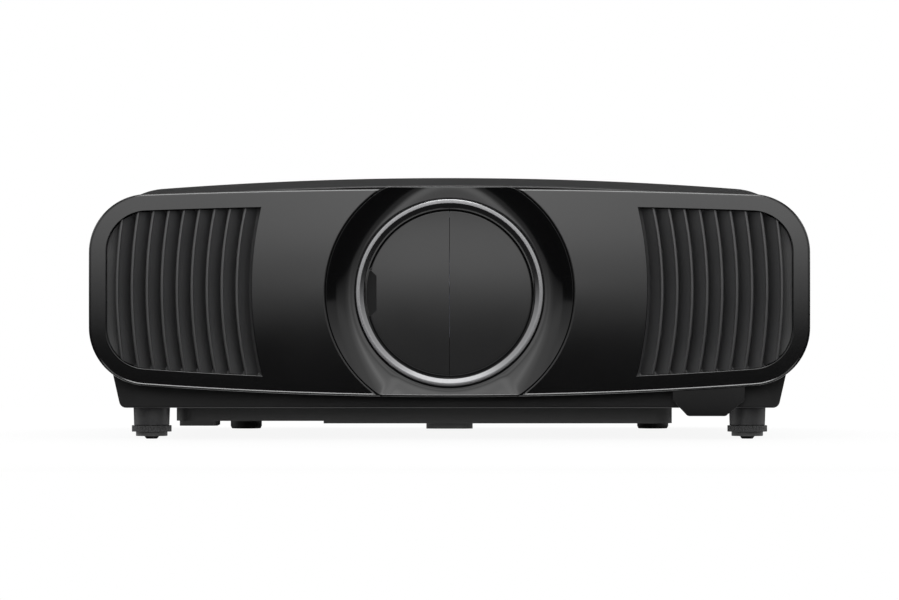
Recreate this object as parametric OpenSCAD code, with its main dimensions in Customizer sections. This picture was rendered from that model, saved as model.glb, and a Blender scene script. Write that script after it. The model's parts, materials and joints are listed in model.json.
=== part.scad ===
// Home projector: a moulded shell on four feet, with a centred lens behind a sliding two-leaf shutter.
// Millimetres. The front faces -Y, +X is at the right of someone who faces it, and the floor is z = 0.
// A "depth" is measured backwards from the front of the fascia, a "rise" upwards from the lens axis.

/* [Overall] */
// Width over the fascia
fascia_w = 520; // [512:1:540]
// Depth from the front of the fascia to the rear wall
body_d = 447; // [445:1:480]
// Height of the lens axis above the floor
lens_z = 106; // [106:0.5:110]
// Rise of the crown of the top case above the lens axis
crown_rise = 87; // [86:0.5:92]
// Wall of the moulded shells
wall = 3; // [2.6:0.1:3.2]
// Gap round a fixed piece in its opening
fit_gap = 0.3; // [0.2:0.05:0.4]
// Gap beside a piece that slides
slide_gap = 0.3; // [0.2:0.05:0.4]
// Radial gap of a shaft in its bearing
shaft_gap = 0.05; // [0.03:0.01:0.08]

/* [Fascia] */
// Rise of the top edge at the centre
fascia_rise = 75.5; // [75:0.5:78]
// Drop of the bottom edge at the centre
fascia_drop = 74.9; // [74:0.1:76]
// Radius of the bowed top edge
fascia_top_r = 5976; // [5000:1:7000]
// Radius of the bowed bottom edge
fascia_bottom_r = 3025; // [2800:1:3400]
// Radius of the four corners
fascia_corner_r = 42; // [36:1:46]
// Radius of the front face, which bulges about a level line
fascia_bulge_r = 471; // [440:1:600]
// Depth of the rim that runs back from the front face
fascia_return = 27; // [27:0.5:30]
// Height of the flange at the back of the rim
fascia_flange = 8; // [6:0.5:10]

/* [Grilles] */
// Margin between a grille and the edge of the fascia
grille_margin = 12.3; // [11:0.1:14]
// Distance of the blades' arc centre past the lens axis
blade_centre_x = 119; // [110:1:130]
// Rise of the blades' arc centre
blade_centre_rise = 3; // [0:0.5:5]
// Radius of the grille's inner edge
grille_inner_r = 261.8; // [258:0.1:264]
// Distance of the innermost blade from the grille's inner edge
blade_first_gap = 9.5; // [8.5:0.1:11]
// Distance between neighbouring blades
blade_pitch = 10.8; // [10.4:0.1:11]
// Blades on each side
blade_count = 9; // [7:1:9]
// Thickness of a blade
blade_t = 2.2; // [1.6:0.1:2.6]
// Sideways lean of a blade over its depth
blade_lean = 6.5; // [5:0.1:7]
// Distance of the blades behind the front face
blade_inset = 2.5; // [2:0.1:3.5]
// Depth at which the blades end
blade_back = 14; // [13:0.5:16]

/* [Lens surround] */
// Outer radius of the bowl
bowl_r = 89.1; // [87:0.1:91]
// Radius of the ring's seat in the bowl
ring_seat_r = 68.5; // [68.5:0.1:69]
// Rise of the bowl's flat top
bowl_flat_rise = 76.7; // [76:0.1:78]
// Drop of the bowl's flat bottom
bowl_flat_drop = 74.2; // [73:0.1:75]
// Depth of the bowl beside the ring
bowl_depth = 11.5; // [10.5:0.1:12.5]
// Thickness of the bowl
bowl_t = 2.4; // [2:0.1:2.8]
// Outer radius of the silver ring
ring_r = 68.4; // [68:0.1:68.4]
// Width of the ring's bright land
ring_land = 2.2; // [1.8:0.1:2.6]
// Radius of the ring's bore
ring_bore_r = 61.9; // [61.6:0.1:62.2]
// Depth of the ring's front
ring_front = 9.2; // [8:0.1:10]
// Depth of the ledge that the ring sits on
ring_ledge = 18.5; // [17:0.1:18.5]

/* [Shutter] */
// Radius of the closed shutter
shutter_r = 60.9; // [60:0.1:61]
// Travel of each leaf
shutter_travel = 62; // [58:0.5:62]
// Thickness of a leaf's raised half disc
leaf_disc_t = 2.1; // [1.8:0.1:2.2]
// Thickness of a leaf's carrier plate
leaf_plate_t = 1.8; // [1.6:0.1:2]
// Width of the bevel round the shutter
leaf_bevel = 2.2; // [1.6:0.1:2.6]

/* [Case] */
// Height of the underside above the floor
case_z = 22.8; // [22:0.1:24]
// How far the sides of the case stand in from those of the fascia
case_inset = 4; // [3:0.5:6]
// How far the sides draw in from the parting line down to the underside
case_lean = 17.5; // [14:0.5:19]
// Drop of the parting line below the lens axis
parting_drop = 6; // [4:0.5:8]
// Radius of the top's side corners
case_corner_r = 44; // [40:1:48]
// Radius of the upright rear corners
case_rear_r = 36; // [30:1:40]
// Radius of the crown from side to side
crown_r = 2845; // [2600:1:3200]
// Radius of the crown from front to back
crown_length_r = 2168; // [2100:1:2600]

/* [Base and feet] */
// Depth of the raised slab under the case
pan_h = 12; // [11:0.5:13]
// Distance between the mounting holes across the case
mount_span_x = 280; // [240:1:290]
// Distance between the mounting holes from front to back
mount_span_y = 220; // [200:1:230]
// Radius of the mounting threads
mount_r = 2.1; // [2:0.05:2.6]
// Distance of the front feet from the sides of the underside
front_foot_inset = 21.5; // [20:0.5:23.5]
// Depth of the front feet
front_foot_depth = 50; // [48:0.5:52]
// Travel of a front foot
foot_travel = 10; // [6:0.5:12]
// Radius of a front foot's screw
foot_screw_r = 5; // [4:0.1:5.5]
// Distance of the rear feet from the middle
rear_foot_x = 160; // [150:1:175]
// Distance of the rear feet from the rear wall
rear_foot_back = 47.5; // [45:0.5:60]
// Radius of a rear foot
rear_foot_r = 12.25; // [10:0.05:14]

/* [Lens and lens shift] */
// Radius of the lens barrel
barrel_r = 42; // [40:0.5:42]
// Depth of the front of the lens
lens_front = 45; // [44:0.5:47]
// Length of the lens barrel
barrel_len = 130; // [128:1:132]
// Outer radius of the focus and zoom rings
ring_grip_r = 47; // [46:0.5:47.5]
// Travel of the lens up and down from the middle
shift_v = 8.8; // [6:0.1:8.8]
// Travel of the lens to each side
shift_h = 7.7; // [5:0.1:7.7]
// Radius of the upright guide rods
guide_r = 4; // [3.5:0.1:4.4]
// Radius of the level guide rods
cross_rod_r = 3; // [2.6:0.1:3.2]

/* [Fans] */
// Side of a fan's frame
fan_side = 92; // [88:1:94]
// Thickness of a fan
fan_t = 25; // [24:0.5:26]
// Radius of a fan's bore
fan_bore_r = 44; // [42:0.5:44]
// Gap at the tips of the fan's blades
fan_tip_gap = 1.5; // [1:0.1:2.5]
// Radius of a fan's hub
fan_hub_r = 18; // [16:0.5:19]
// Blades on a fan
fan_blades = 7; // [5:1:9]

/* [Rear] */
// Distance of the opening in the rear wall from the round corners
rear_open_margin = 15; // [12:1:20]
// Distance of the opening in the rear wall above the underside
rear_open_up = 17.2; // [14:0.1:20]
// Height of the opening in the rear wall
rear_open_h = 120; // [118:0.5:122]
// Depth of the recess round the connectors
port_recess = 12; // [10:0.5:14]
// Width of the filter cover
filter_w = 130; // [120:1:136]
// Height of the filter cover
filter_h = 96; // [90:1:98]
// Thickness of the air filter
filter_t = 12; // [10:0.5:14]

/* [Control panel] */
// Length of the control panel
keys_w = 104; // [102:1:108]
// Height of the control panel
keys_h = 28; // [28:0.5:30]
// Distance of the control panel's middle from the rear wall
keys_back = 110; // [105:1:120]
// Travel of a key
key_travel = 0.6; // [0.4:0.05:0.8]
// Radius of a large key
key_r = 4.2; // [3.8:0.1:4.5]
// Radius of a small key
small_key_r = 3; // [2.6:0.1:3.2]
// Distance of the arrow keys from the middle key
arrow_pitch = 9; // [8.6:0.1:9.2]

/* [Hidden] */
$fn = 96;

// Colours
charcoal = [0.10, 0.10, 0.11];
case_grey = [0.13, 0.13, 0.14];
gloss_black = [0.02, 0.02, 0.02];
rubber_black = [0.05, 0.05, 0.05];
silver = [0.75, 0.75, 0.76];
steel = [0.6, 0.61, 0.63];
board_green = [0.08, 0.30, 0.16];
brass = [0.78, 0.62, 0.30];
key_grey = [0.35, 0.35, 0.36];

// Main planes
front_y = -body_d / 2;
rear_y = body_d / 2;
floor_z = case_z + wall;
parting_z = lens_z - parting_drop;
crown_z = lens_z + crown_rise;
case_half_w = fascia_w / 2 - case_inset;
case_foot_half_w = case_half_w - case_lean;
front_foot_x = case_foot_half_w - front_foot_inset;
rear_open_half_w = case_half_w - case_rear_r - rear_open_margin;
rear_open_z = [case_z + rear_open_up, case_z + rear_open_up + rear_open_h];
over = 1;

function y_at(depth) = front_y + depth;

// Points of an arc in steps of equal angle, with both ends
function arc(cx, cz, r, a0, a1, n) =
  [for (i = [0:n]) let (a = a0 + (a1 - a0) * i / n) [cx + r * cos(a), cz + r * sin(a)]];

// The same without its ends
function inner_arc(cx, cz, r, a0, a1, n) =
  [for (i = [1:n - 1]) let (a = a0 + (a1 - a0) * i / n) [cx + r * cos(a), cz + r * sin(a)]];

function mirrored(points) = [for (i = [len(points) - 1:-1:0]) [-points[i][0], points[i][1]]];

// A box from its limits
module slab(x, y, z) {
  translate([x[0], y[0], z[0]])
    cube([x[1] - x[0], y[1] - y[0], z[1] - z[0]]);
}

// Extrudes an outline in X and Z from one depth to another
module along_y(depth0, depth1) {
  translate([0, y_at(depth1), 0])
    rotate([90, 0, 0])
      linear_extrude(depth1 - depth0)
        children();
}

// Turns a profile of radius and depth about a level axis from front to back
module turned(x, z) {
  translate([x, front_y, z])
    rotate([-90, 0, 0])
      rotate_extrude()
        children();
}

module rod_y(x, z, r, depth0, depth1) {
  translate([x, y_at(depth0), z])
    rotate([-90, 0, 0])
      cylinder(r = r, h = depth1 - depth0);
}

module rod_x(x0, x1, y, z, r) {
  translate([x0, y, z])
    rotate([0, 90, 0])
      cylinder(r = r, h = x1 - x0);
}

module rod_z(x, y, r, z0, z1) {
  translate([x, y, z0])
    cylinder(r = r, h = z1 - z0);
}

// ---- Fascia and grilles ----

// Outline of the fascia, drawn in by an inset: two bowed edges, straight sides and round corners
function fascia_outline(inset) =
  let (
    r = fascia_corner_r - inset,
    xc = fascia_w / 2 - fascia_corner_r,
    top_c = lens_z + fascia_rise - fascia_top_r,
    bottom_c = lens_z - fascia_drop + fascia_bottom_r,
    zt = top_c + sqrt(pow(fascia_top_r - fascia_corner_r, 2) - xc * xc),
    zb = bottom_c - sqrt(pow(fascia_bottom_r - fascia_corner_r, 2) - xc * xc),
    at = atan2(zt - top_c, xc),
    ab = atan2(zb - bottom_c, xc),
    right = concat(arc(xc, zb, r, ab, 0, 8), arc(xc, zt, r, 0, at, 8))
  )
  concat(
    right,
    inner_arc(0, top_c, fascia_top_r - inset, at, 180 - at, 16),
    mirrored(right),
    inner_arc(0, bottom_c, fascia_bottom_r - inset, -180 - ab, ab, 16)
  );

// Everything behind the bulging front face, moved back by an inset
module behind_face(inset) {
  translate([0, y_at(fascia_bulge_r), lens_z])
    rotate([0, 90, 0])
      cylinder(r = fascia_bulge_r - inset, h = fascia_w + 2 * over, center = true, $fn = 256);
}

// Outline of one grille's opening, on the left or, with side = 1, on the right
module grille_window(side, inset) {
  difference() {
    intersection() {
      polygon(fascia_outline(grille_margin + inset));
      translate([side < 0 ? -fascia_w : 0, 0])
        square([fascia_w, 2 * crown_z]);
    }
    translate([-side * blade_centre_x, lens_z + blade_centre_rise])
      circle(r = grille_inner_r + inset, $fn = 256);
  }
}

surround_rim_t = 1.9;
surround_back = bowl_depth + surround_rim_t;

module front_panel() {
  color(charcoal)
    difference() {
      intersection() {
        along_y(-over, fascia_return)
          polygon(fascia_outline(0));
        behind_face(0);
      }
      intersection() {
        along_y(-over, fascia_return + over)
          polygon(fascia_outline(wall));
        union() {
          intersection() {
            behind_face(wall);
            slab([-fascia_w, fascia_w], [front_y, y_at(fascia_return - wall)], [0, crown_z]);
          }
          slab([-flange_clear_x, flange_clear_x],
            [y_at(fascia_return - wall - over), y_at(fascia_return + over)], [0, crown_z]);
          along_y(fascia_return - wall - over, fascia_return + over)
            polygon(fascia_outline(fascia_flange));
        }
      }
      rod_y(0, lens_z, bowl_r + fit_gap, -over, surround_back + fit_gap);
      for (side = [-1, 1])
        along_y(-over, grille_seat)
          grille_window(side, 0);
    }
}

// The blades end on a frame that is let into the back of the opening
grille_seat = blade_back + over;
grille_frame_w = 3;
grille_frame_t = 3;
grille_rib_rise = 30;
grille_rib_t = 2;
blade_first_r = grille_inner_r + blade_first_gap;

function blade_profile(r) = [
  [r - blade_t / 2, 0],
  [r + blade_t / 2, 0],
  [r + blade_t / 2, blade_back / 2],
  [r + blade_t / 2 - blade_lean, blade_back],
  [r - blade_t / 2 - blade_lean, blade_back],
  [r - blade_t / 2, blade_back / 2]
];

module grille(side) {
  color(charcoal) {
    intersection() {
      union() {
        for (i = [0:blade_count - 1])
          turned(-side * blade_centre_x, lens_z + blade_centre_rise)
            polygon(blade_profile(blade_first_r + i * blade_pitch));
        for (rise = [-grille_rib_rise, grille_rib_rise])
          slab([side < 0 ? -fascia_w : 0, side < 0 ? 0 : fascia_w],
            [y_at(blade_back - grille_frame_t), y_at(blade_back)],
            [lens_z + rise - grille_rib_t / 2, lens_z + rise + grille_rib_t / 2]);
        along_y(blade_back - grille_frame_t, blade_back)
          difference() {
            grille_window(side, fit_gap);
            grille_window(side, fit_gap + grille_frame_w);
          }
      }
      behind_face(blade_inset);
      along_y(0, blade_back)
        grille_window(side, fit_gap);
    }
  }
}

module left_grille() {
  grille(-1);
}

module right_grille() {
  grille(1);
}

// ---- Lens surround and ring ----

bowl_rim_depth = 0.2;
surround_inset = 0.8;
bowl_curve = 1.8;
surround_wall = 2.1;
ledge_r = ring_bore_r + 0.4;
ledge_t = 2;
surround_flange_r = ring_seat_r + 3.1;
housing_front = ring_ledge + ledge_t;

// Depth of the bowl's face at a radius: level beside the ring and steeper towards the rim
function bowl_face(r) =
  bowl_depth - (bowl_depth - bowl_rim_depth) * pow((r - ring_seat_r) / (bowl_r - ring_seat_r), bowl_curve);

bowl_steps = 10;
bowl_back_r0 = ring_seat_r + surround_wall;
bowl_back_r1 = bowl_r - surround_wall;

module lens_surround() {
  front = [for (i = [0:bowl_steps])
    let (r = ring_seat_r + (bowl_r - ring_seat_r) * i / bowl_steps) [r, bowl_face(r)]];
  back = [for (i = [bowl_steps:-1:0])
    let (r = bowl_back_r0 + (bowl_back_r1 - bowl_back_r0) * i / bowl_steps) [r, bowl_face(r) + bowl_t]];
  color(gloss_black)
    intersection() {
      turned(0, lens_z)
        polygon(concat(
          [[ledge_r, ring_ledge], [ring_seat_r, ring_ledge]],
          front,
          [[bowl_r, surround_back], [bowl_back_r1, surround_back]],
          back,
          [[bowl_back_r0, ring_ledge], [surround_flange_r, ring_ledge]],
          [[surround_flange_r, housing_front], [ledge_r, housing_front]]
        ));
      slab([-bowl_r, bowl_r], [front_y, 0], [lens_z - bowl_flat_drop, lens_z + bowl_flat_rise]);
      behind_face(surround_inset);
    }
}

ring_foot = 2;
ring_edge = 0.4;

module lens_ring() {
  color(silver)
    turned(0, lens_z)
      polygon([
        [ring_r, ring_ledge],
        [ring_r, ring_front + ring_edge],
        [ring_r - ring_edge, ring_front],
        [ring_r - ring_land + ring_edge, ring_front],
        [ring_r - ring_land, ring_front + ring_edge],
        [ring_bore_r, ring_ledge - ring_foot],
        [ring_bore_r, ring_ledge]
      ]);
}

// ---- Lens shutter ----

rack_module = 0.8;
pinion_teeth = 10;
leaf_front = housing_front + 0.4;
leaf_back = leaf_front + leaf_disc_t + leaf_plate_t;
leaf_edge = 0.7;
carrier_margin = 1.7;
carrier_half_h = shutter_r + carrier_margin;
housing_wall = 2.3;
housing_end = 4;
housing_foot = 5;
housing_back = leaf_back + slide_gap + housing_wall;
housing_half_w = shutter_travel + shutter_r + 5 + housing_end;
flange_clear_x = housing_half_w + 8;
seam_half = 0.15;
pinion_r = rack_module * pinion_teeth / 2;
tooth_pitch = PI * rack_module;
tooth_root_half = rack_module * 0.75;
tooth_tip_half = rack_module * 0.31;
addendum = rack_module * 0.5;
rack_t = 2.3;
rack_h = 2.4;
rack_gap = 0.4;
pinion_depth = housing_back + pinion_r + rack_t + 1.3;
left_rack_rise = carrier_half_h + 2 * rack_gap;
right_rack_rise = left_rack_rise + rack_h + rack_gap;
bar_rise = right_rack_rise + rack_h + rack_gap;
bar_t = 1.6;
bar_back = pinion_depth + pinion_r + rack_t + 1.2;
pinion_shaft_r = 1;
pinion_h = 2 * rack_h + 0.6;
arm_x = [44, 58];
rack_reach = 4;
motor_half_w = 6;
motor_h = 8;
motor_edge = 1;

// Outline of a rack seen from above, for x from x0 to x1: the teeth point to +Y from the pitch line
module rack_outline(x0, x1) {
  root = -rack_module * 0.6;
  first = ceil(x0 / tooth_pitch);
  last = floor(x1 / tooth_pitch) - 1;
  tooth = [
    [-tooth_root_half, root], [-tooth_tip_half, addendum],
    [tooth_tip_half, addendum], [tooth_root_half, root]
  ];
  teeth = [for (k = [first:last]) for (corner = tooth) [(k + 0.5) * tooth_pitch + corner[0], corner[1]]];
  polygon(concat([[x1, root], [x1, root - rack_t], [x0, root - rack_t], [x0, root]], teeth));
}

module leaf(side) {
  lo = side < 0 ? -shutter_r : seam_half;
  hi = side < 0 ? -seam_half : shutter_r;
  intersection() {
    turned(0, lens_z)
      polygon([
        [0, leaf_front],
        [shutter_r - leaf_bevel, leaf_front],
        [shutter_r, leaf_front + leaf_disc_t - leaf_edge],
        [shutter_r, leaf_front + leaf_disc_t],
        [0, leaf_front + leaf_disc_t]
      ]);
    slab([lo, hi], [front_y, 0], [0, crown_z]);
  }
  slab([lo, hi], [y_at(leaf_front + leaf_disc_t), y_at(leaf_back)],
    [lens_z - carrier_half_h, lens_z + carrier_half_h]);
}

notch_x = 52.7;
notch_half_h = 16.6;
notch_chamfer = 4;
notch_depth = 1.2;

module left_shutter() {
  rack_z = lens_z + left_rack_rise;
  rack_y = y_at(pinion_depth - pinion_r);
  color(charcoal) {
    difference() {
      leaf(-1);
      along_y(0, leaf_front + notch_depth)
        polygon([
          [-notch_x, notch_chamfer - notch_half_h + lens_z],
          [-notch_x, notch_half_h - notch_chamfer + lens_z],
          [-notch_x - notch_chamfer, notch_half_h + lens_z],
          [-shutter_r - over, notch_half_h + lens_z],
          [-shutter_r - over, lens_z - notch_half_h],
          [-notch_x - notch_chamfer, lens_z - notch_half_h]
        ]);
    }
    slab([-arm_x[1], -arm_x[0]], [y_at(leaf_front + leaf_disc_t), y_at(leaf_back)],
      [lens_z, rack_z + rack_h]);
    slab([-arm_x[1], -arm_x[0]], [y_at(leaf_back) - over, rack_y - over], [rack_z, rack_z + rack_h]);
    translate([0, rack_y, rack_z])
      linear_extrude(rack_h)
        rack_outline(-arm_x[1], shutter_travel + rack_reach);
  }
}

module right_shutter() {
  rack_z = lens_z + right_rack_rise;
  rack_y = y_at(pinion_depth + pinion_r);
  color(charcoal) {
    leaf(1);
    slab(arm_x, [y_at(leaf_front + leaf_disc_t), y_at(leaf_back)], [lens_z, rack_z + rack_h]);
    slab(arm_x, [y_at(leaf_back) - over, rack_y + rack_t], [rack_z, rack_z + rack_h]);
    translate([0, rack_y, rack_z])
      mirror([0, 1, 0])
        linear_extrude(rack_h)
          rack_outline(-shutter_travel - rack_reach, arm_x[1]);
  }
}

module shutter_pinion() {
  root_r = pinion_r - rack_module * 0.75;
  tip_r = pinion_r + addendum;
  z0 = lens_z + left_rack_rise - rack_gap / 2;
  collar = 0.3;
  color(brass)
    translate([0, y_at(pinion_depth), 0]) {
      translate([0, 0, z0])
        linear_extrude(pinion_h) {
          circle(r = root_r);
          for (i = [0:pinion_teeth - 1])
            rotate(90 + i * 360 / pinion_teeth)
              polygon([[root_r / 2, -tooth_root_half], [root_r, -tooth_root_half],
                [tip_r, -tooth_tip_half], [tip_r, tooth_tip_half],
                [root_r, tooth_root_half], [root_r / 2, tooth_root_half]]);
        }
      translate([0, 0, z0 - collar])
        cylinder(r = pinion_shaft_r, h = lens_z + bar_rise + bar_t - z0 + collar);
    }
}

module shutter_motor() {
  top = lens_z + left_rack_rise - 1.5 * rack_gap;
  back = pinion_depth + motor_half_w;
  color(steel)
    difference() {
      slab([-motor_half_w, motor_half_w], [y_at(housing_back), y_at(back)], [top - motor_h, top]);
      for (x = [-motor_half_w, motor_half_w])
        for (depth = [housing_back, back])
          rod_z(x, y_at(depth), motor_edge, top - motor_h - over, top + over);
    }
}

module shutter_housing() {
  color(rubber_black)
    difference() {
      union() {
        slab([-housing_half_w, housing_half_w], [y_at(housing_front), y_at(housing_back)],
          [lens_z - carrier_half_h - housing_foot, lens_z + carrier_half_h]);
        for (side = [-1, 1])
          translate([side * (housing_half_w - housing_end / 2), 0, 0])
            slab([-housing_end / 2, housing_end / 2], [y_at(housing_front), y_at(bar_back)],
              [lens_z - carrier_half_h - housing_foot, lens_z + bar_rise + bar_t]);
        slab([-housing_half_w, housing_half_w], [y_at(housing_front), y_at(bar_back)],
          [lens_z + bar_rise, lens_z + bar_rise + bar_t]);
      }
      // Channel of the carrier plates, open at the top for the rack arms
      slab([housing_end - housing_half_w, housing_half_w - housing_end],
        [y_at(leaf_front + leaf_disc_t - slide_gap), y_at(leaf_back + slide_gap)],
        [lens_z - carrier_half_h - slide_gap, lens_z + bar_rise]);
      // Front cut for the raised half discs
      slab([housing_end - housing_half_w, housing_half_w - housing_end],
        [y_at(housing_front - over), y_at(leaf_front + leaf_disc_t)],
        [lens_z - shutter_r - 0.5, lens_z + shutter_r + 0.5]);
      rod_y(0, lens_z, shutter_r - 2, housing_front, housing_back + over);
      rod_z(0, y_at(pinion_depth), pinion_shaft_r + shaft_gap, lens_z + bar_rise - over,
        lens_z + bar_rise + bar_t + over);
    }
}

// ---- Case ----

case_foot_r = 5;
post_r = 6;
boss_r = 5;
screw_r = 1.95;
screw_clear_r = 2.2;
screw_head_r = 4;
screw_head_t = 2;
screw_len = 108;
post_front_x = housing_half_w - post_r;
post_front_depth = bar_back + post_r + 3;
post_rear_inset = 14;
post_rear_x = case_foot_half_w - post_rear_inset;
post_rear_back = 62;
post_lip = 2;
post_places = [
  [-post_front_x, y_at(post_front_depth)],
  [post_front_x, y_at(post_front_depth)],
  [-post_rear_x, rear_y - post_rear_back],
  [post_rear_x, rear_y - post_rear_back]
];

// Outline of the upper case at the crown, drawn in by an inset and open below
function upper_section(inset) =
  let (
    centre = crown_z - crown_r,
    xc = case_half_w - case_corner_r,
    zc = centre + sqrt(pow(crown_r - case_corner_r, 2) - xc * xc),
    a = atan2(zc - centre, xc),
    right = concat([[case_half_w - inset, parting_z - 30]],
      arc(xc, zc, case_corner_r - inset, 0, a, 8))
  )
  concat(right, inner_arc(0, centre, crown_r - inset, a, 180 - a, 12), mirrored(right));

// The upper section swept from front to back about a far level axis
module upper_sweep(inset) {
  half_angle = atan((body_d / 2 + 20) / crown_length_r);
  translate([0, 0, crown_z - crown_length_r])
    rotate([0, -90, 0])
      rotate([0, 0, -half_angle])
        rotate_extrude(angle = 2 * half_angle, $fn = 256)
          polygon([for (p = upper_section(inset)) [crown_length_r + p[1] - crown_z, p[0]]]);
}

// The case seen from above, drawn in by an inset: round rear corners and a straight front
module upright_plan(inset, front) {
  r = case_rear_r - inset;
  xc = case_half_w - case_rear_r;
  right = concat([[case_half_w - inset, front]], arc(xc, rear_y - case_rear_r, r, 0, 90, 8));
  linear_extrude(crown_z + over)
    polygon(concat(right, mirrored(right)));
}

// Outline of the lower case, drawn in by an inset: leaning sides and small lower corners
function lower_section(inset) =
  let (
    lean = atan2(case_half_w - case_foot_half_w, parting_z - case_z),
    r = max(case_foot_r - inset, 0.5),
    zc = case_z + case_foot_r,
    xc = case_foot_half_w + case_foot_r * tan(lean) - case_foot_r / cos(lean),
    right = concat(arc(xc, zc, r, -90, -lean, 5),
      [[case_half_w - inset / cos(lean), parting_z + over]])
  )
  concat(right, mirrored(right));

module rear_opening() {
  slab([-rear_open_half_w, rear_open_half_w], [rear_y - wall - over, rear_y + over],
    rear_open_z);
}

keys_y = rear_y - keys_back;
keys_up = 17;
keys_z = parting_z + keys_up;

module top_case() {
  front = y_at(fascia_return);
  color(case_grey)
    difference() {
      union() {
        difference() {
          intersection() {
            upper_sweep(0);
            upright_plan(0, front);
            slab([-case_half_w, case_half_w], [front, rear_y], [parting_z, crown_z]);
          }
          intersection() {
            upper_sweep(wall);
            upright_plan(wall, front - over);
          }
        }
        intersection() {
          upper_sweep(wall / 2);
          for (place = post_places)
            rod_z(place[0], place[1], boss_r, parting_z, crown_z);
        }
      }
      rear_opening();
      slab([case_half_w - wall - over, case_half_w + over],
        [keys_y - keys_w / 2 - fit_gap, keys_y + keys_w / 2 + fit_gap],
        [keys_z - keys_h / 2 - fit_gap, keys_z + keys_h / 2 + fit_gap]);
      for (place = post_places)
        rod_z(place[0], place[1], screw_r + shaft_gap, parting_z - over,
          case_z + screw_len + post_lip);
    }
}

lower_front_h = 12;
lower_front_half_w = case_foot_half_w - 4;

module bottom_case() {
  front = y_at(fascia_return);
  color(case_grey)
    difference() {
      union() {
        difference() {
          intersection() {
            along_y(fascia_return, body_d)
              polygon(lower_section(0));
            upright_plan(0, front);
            slab([-case_half_w, case_half_w], [front, rear_y], [0, parting_z]);
          }
          intersection() {
            along_y(fascia_return - over, body_d)
              polygon(lower_section(wall));
            upright_plan(wall, front - over);
          }
        }
        slab([-lower_front_half_w, lower_front_half_w], [front, front + wall],
          [case_z + wall / 2, case_z + lower_front_h]);
        for (place = post_places)
          rod_z(place[0], place[1], post_r, case_z + wall / 2, parting_z);
      }
      rear_opening();
      for (place = post_places) {
        rod_z(place[0], place[1], screw_clear_r, case_z - over, parting_z + over);
        rod_z(place[0], place[1], screw_head_r + fit_gap, case_z - over, case_z + screw_head_t);
      }
      for (side = [-1, 1])
        rod_z(side * front_foot_x, y_at(front_foot_depth), socket_boss_r + fit_gap, case_z - over,
          floor_z + over);
    }
}

screw_sunk = 0.2;
screw_socket_r = 1.6;
screw_socket_depth = 1.2;

module case_screws() {
  color(steel)
    for (place = post_places) {
      difference() {
        rod_z(place[0], place[1], screw_head_r, case_z + screw_sunk, case_z + screw_head_t);
        translate([place[0], place[1], case_z + screw_sunk])
          cylinder(r = screw_socket_r, h = screw_socket_depth, $fn = 6);
      }
      rod_z(place[0], place[1], screw_r, case_z + screw_head_t - screw_sunk, case_z + screw_len);
    }
}

// ---- Base slab, feet and mounting threads ----

pan_left_gap = 17;
pan_right_gap = 54;
pan_rear_gap = 97;
pan_x = [pan_left_gap - front_foot_x, front_foot_x - pan_right_gap];
pan_depth = [front_foot_depth + 12, body_d - pan_rear_gap];
pan_step_w = 108;
pan_step = 1.8;
pan_wall = 2.6;
pan_corner_r = 14;
pan_z = case_z - pan_h;
block_w = 28;
block_depth = [60, 120];
block_h = 3;
bump_half_w = 17;
bump_depth = [6, 40];
bump_h = 4;
insert_r = 4;
insert_wall = 2.5;
insert_len = 9;
insert_z = pan_z + pan_step;
mount_off_x = 3.5;
mount_off_y = -6;
mount_x = (pan_x[0] + pan_x[1]) / 2 + mount_off_x;
mount_y = y_at((pan_depth[0] + pan_depth[1]) / 2 + mount_off_y);

// A plate with round upright corners, made of two bars and four cylinders
module round_plate(x, y, z, r) {
  slab([x[0] + r, x[1] - r], y, z);
  slab(x, [y[0] + r, y[1] - r], z);
  for (cx = [x[0] + r, x[1] - r])
    for (cy = [y[0] + r, y[1] - r])
      rod_z(cx, cy, r, z[0], z[1]);
}

module at_mount_holes() {
  for (sx = [-1, 1])
    for (sy = [-1, 1])
      translate([mount_x + sx * mount_span_x / 2, mount_y + sy * mount_span_y / 2, 0])
        children();
}

module base_pan() {
  y = [y_at(pan_depth[0]), y_at(pan_depth[1])];
  color(rubber_black)
    difference() {
      union() {
        difference() {
          round_plate(pan_x, y, [pan_z, case_z], pan_corner_r);
          slab([pan_x[0] - over, pan_x[0] + pan_step_w], [y[0] - over, y[1] + over],
            [pan_z - over, pan_z + pan_step]);
          round_plate([pan_x[0] + pan_wall, pan_x[1] - pan_wall],
            [y[0] + pan_wall, y[1] - pan_wall],
            [pan_z + pan_step + pan_wall, case_z + over], pan_corner_r - pan_wall);
        }
        at_mount_holes()
          translate([0, 0, insert_z])
            cylinder(r = insert_r + insert_wall, h = case_z - insert_z);
        // Block at the left and stiffening bump at the middle
        round_plate([pan_x[0], pan_x[0] + block_w], [y[0] + block_depth[0], y[0] + block_depth[1]],
          [pan_z - block_h, pan_z + pan_step + over], 4);
        round_plate([-bump_half_w, bump_half_w], [y[0] + bump_depth[0], y[0] + bump_depth[1]],
          [pan_z - bump_h, pan_z + over], 8);
      }
      at_mount_holes()
        translate([0, 0, pan_z - over])
          cylinder(r = insert_r + shaft_gap, h = insert_z + insert_len - pan_z + over + slide_gap);
      at_mount_holes()
        translate([0, 0, -over])
          cylinder(r = insert_r + 1, h = insert_z + over);
    }
}

module mount_inserts() {
  color(brass)
    at_mount_holes()
      translate([0, 0, insert_z])
        difference() {
          cylinder(r = insert_r, h = insert_len);
          translate([0, 0, -over])
            cylinder(r = mount_r, h = insert_len);
        }
}

rear_foot_taper = 1;
rear_foot_tread = 2;

module rear_feet() {
  color(rubber_black)
    for (side = [-1, 1])
      translate([side * rear_foot_x, rear_y - rear_foot_back, 0]) {
        cylinder(r1 = rear_foot_r - rear_foot_taper, r2 = rear_foot_r, h = rear_foot_tread);
        translate([0, 0, rear_foot_tread])
          cylinder(r = rear_foot_r, h = case_z - rear_foot_tread);
      }
}

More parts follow.
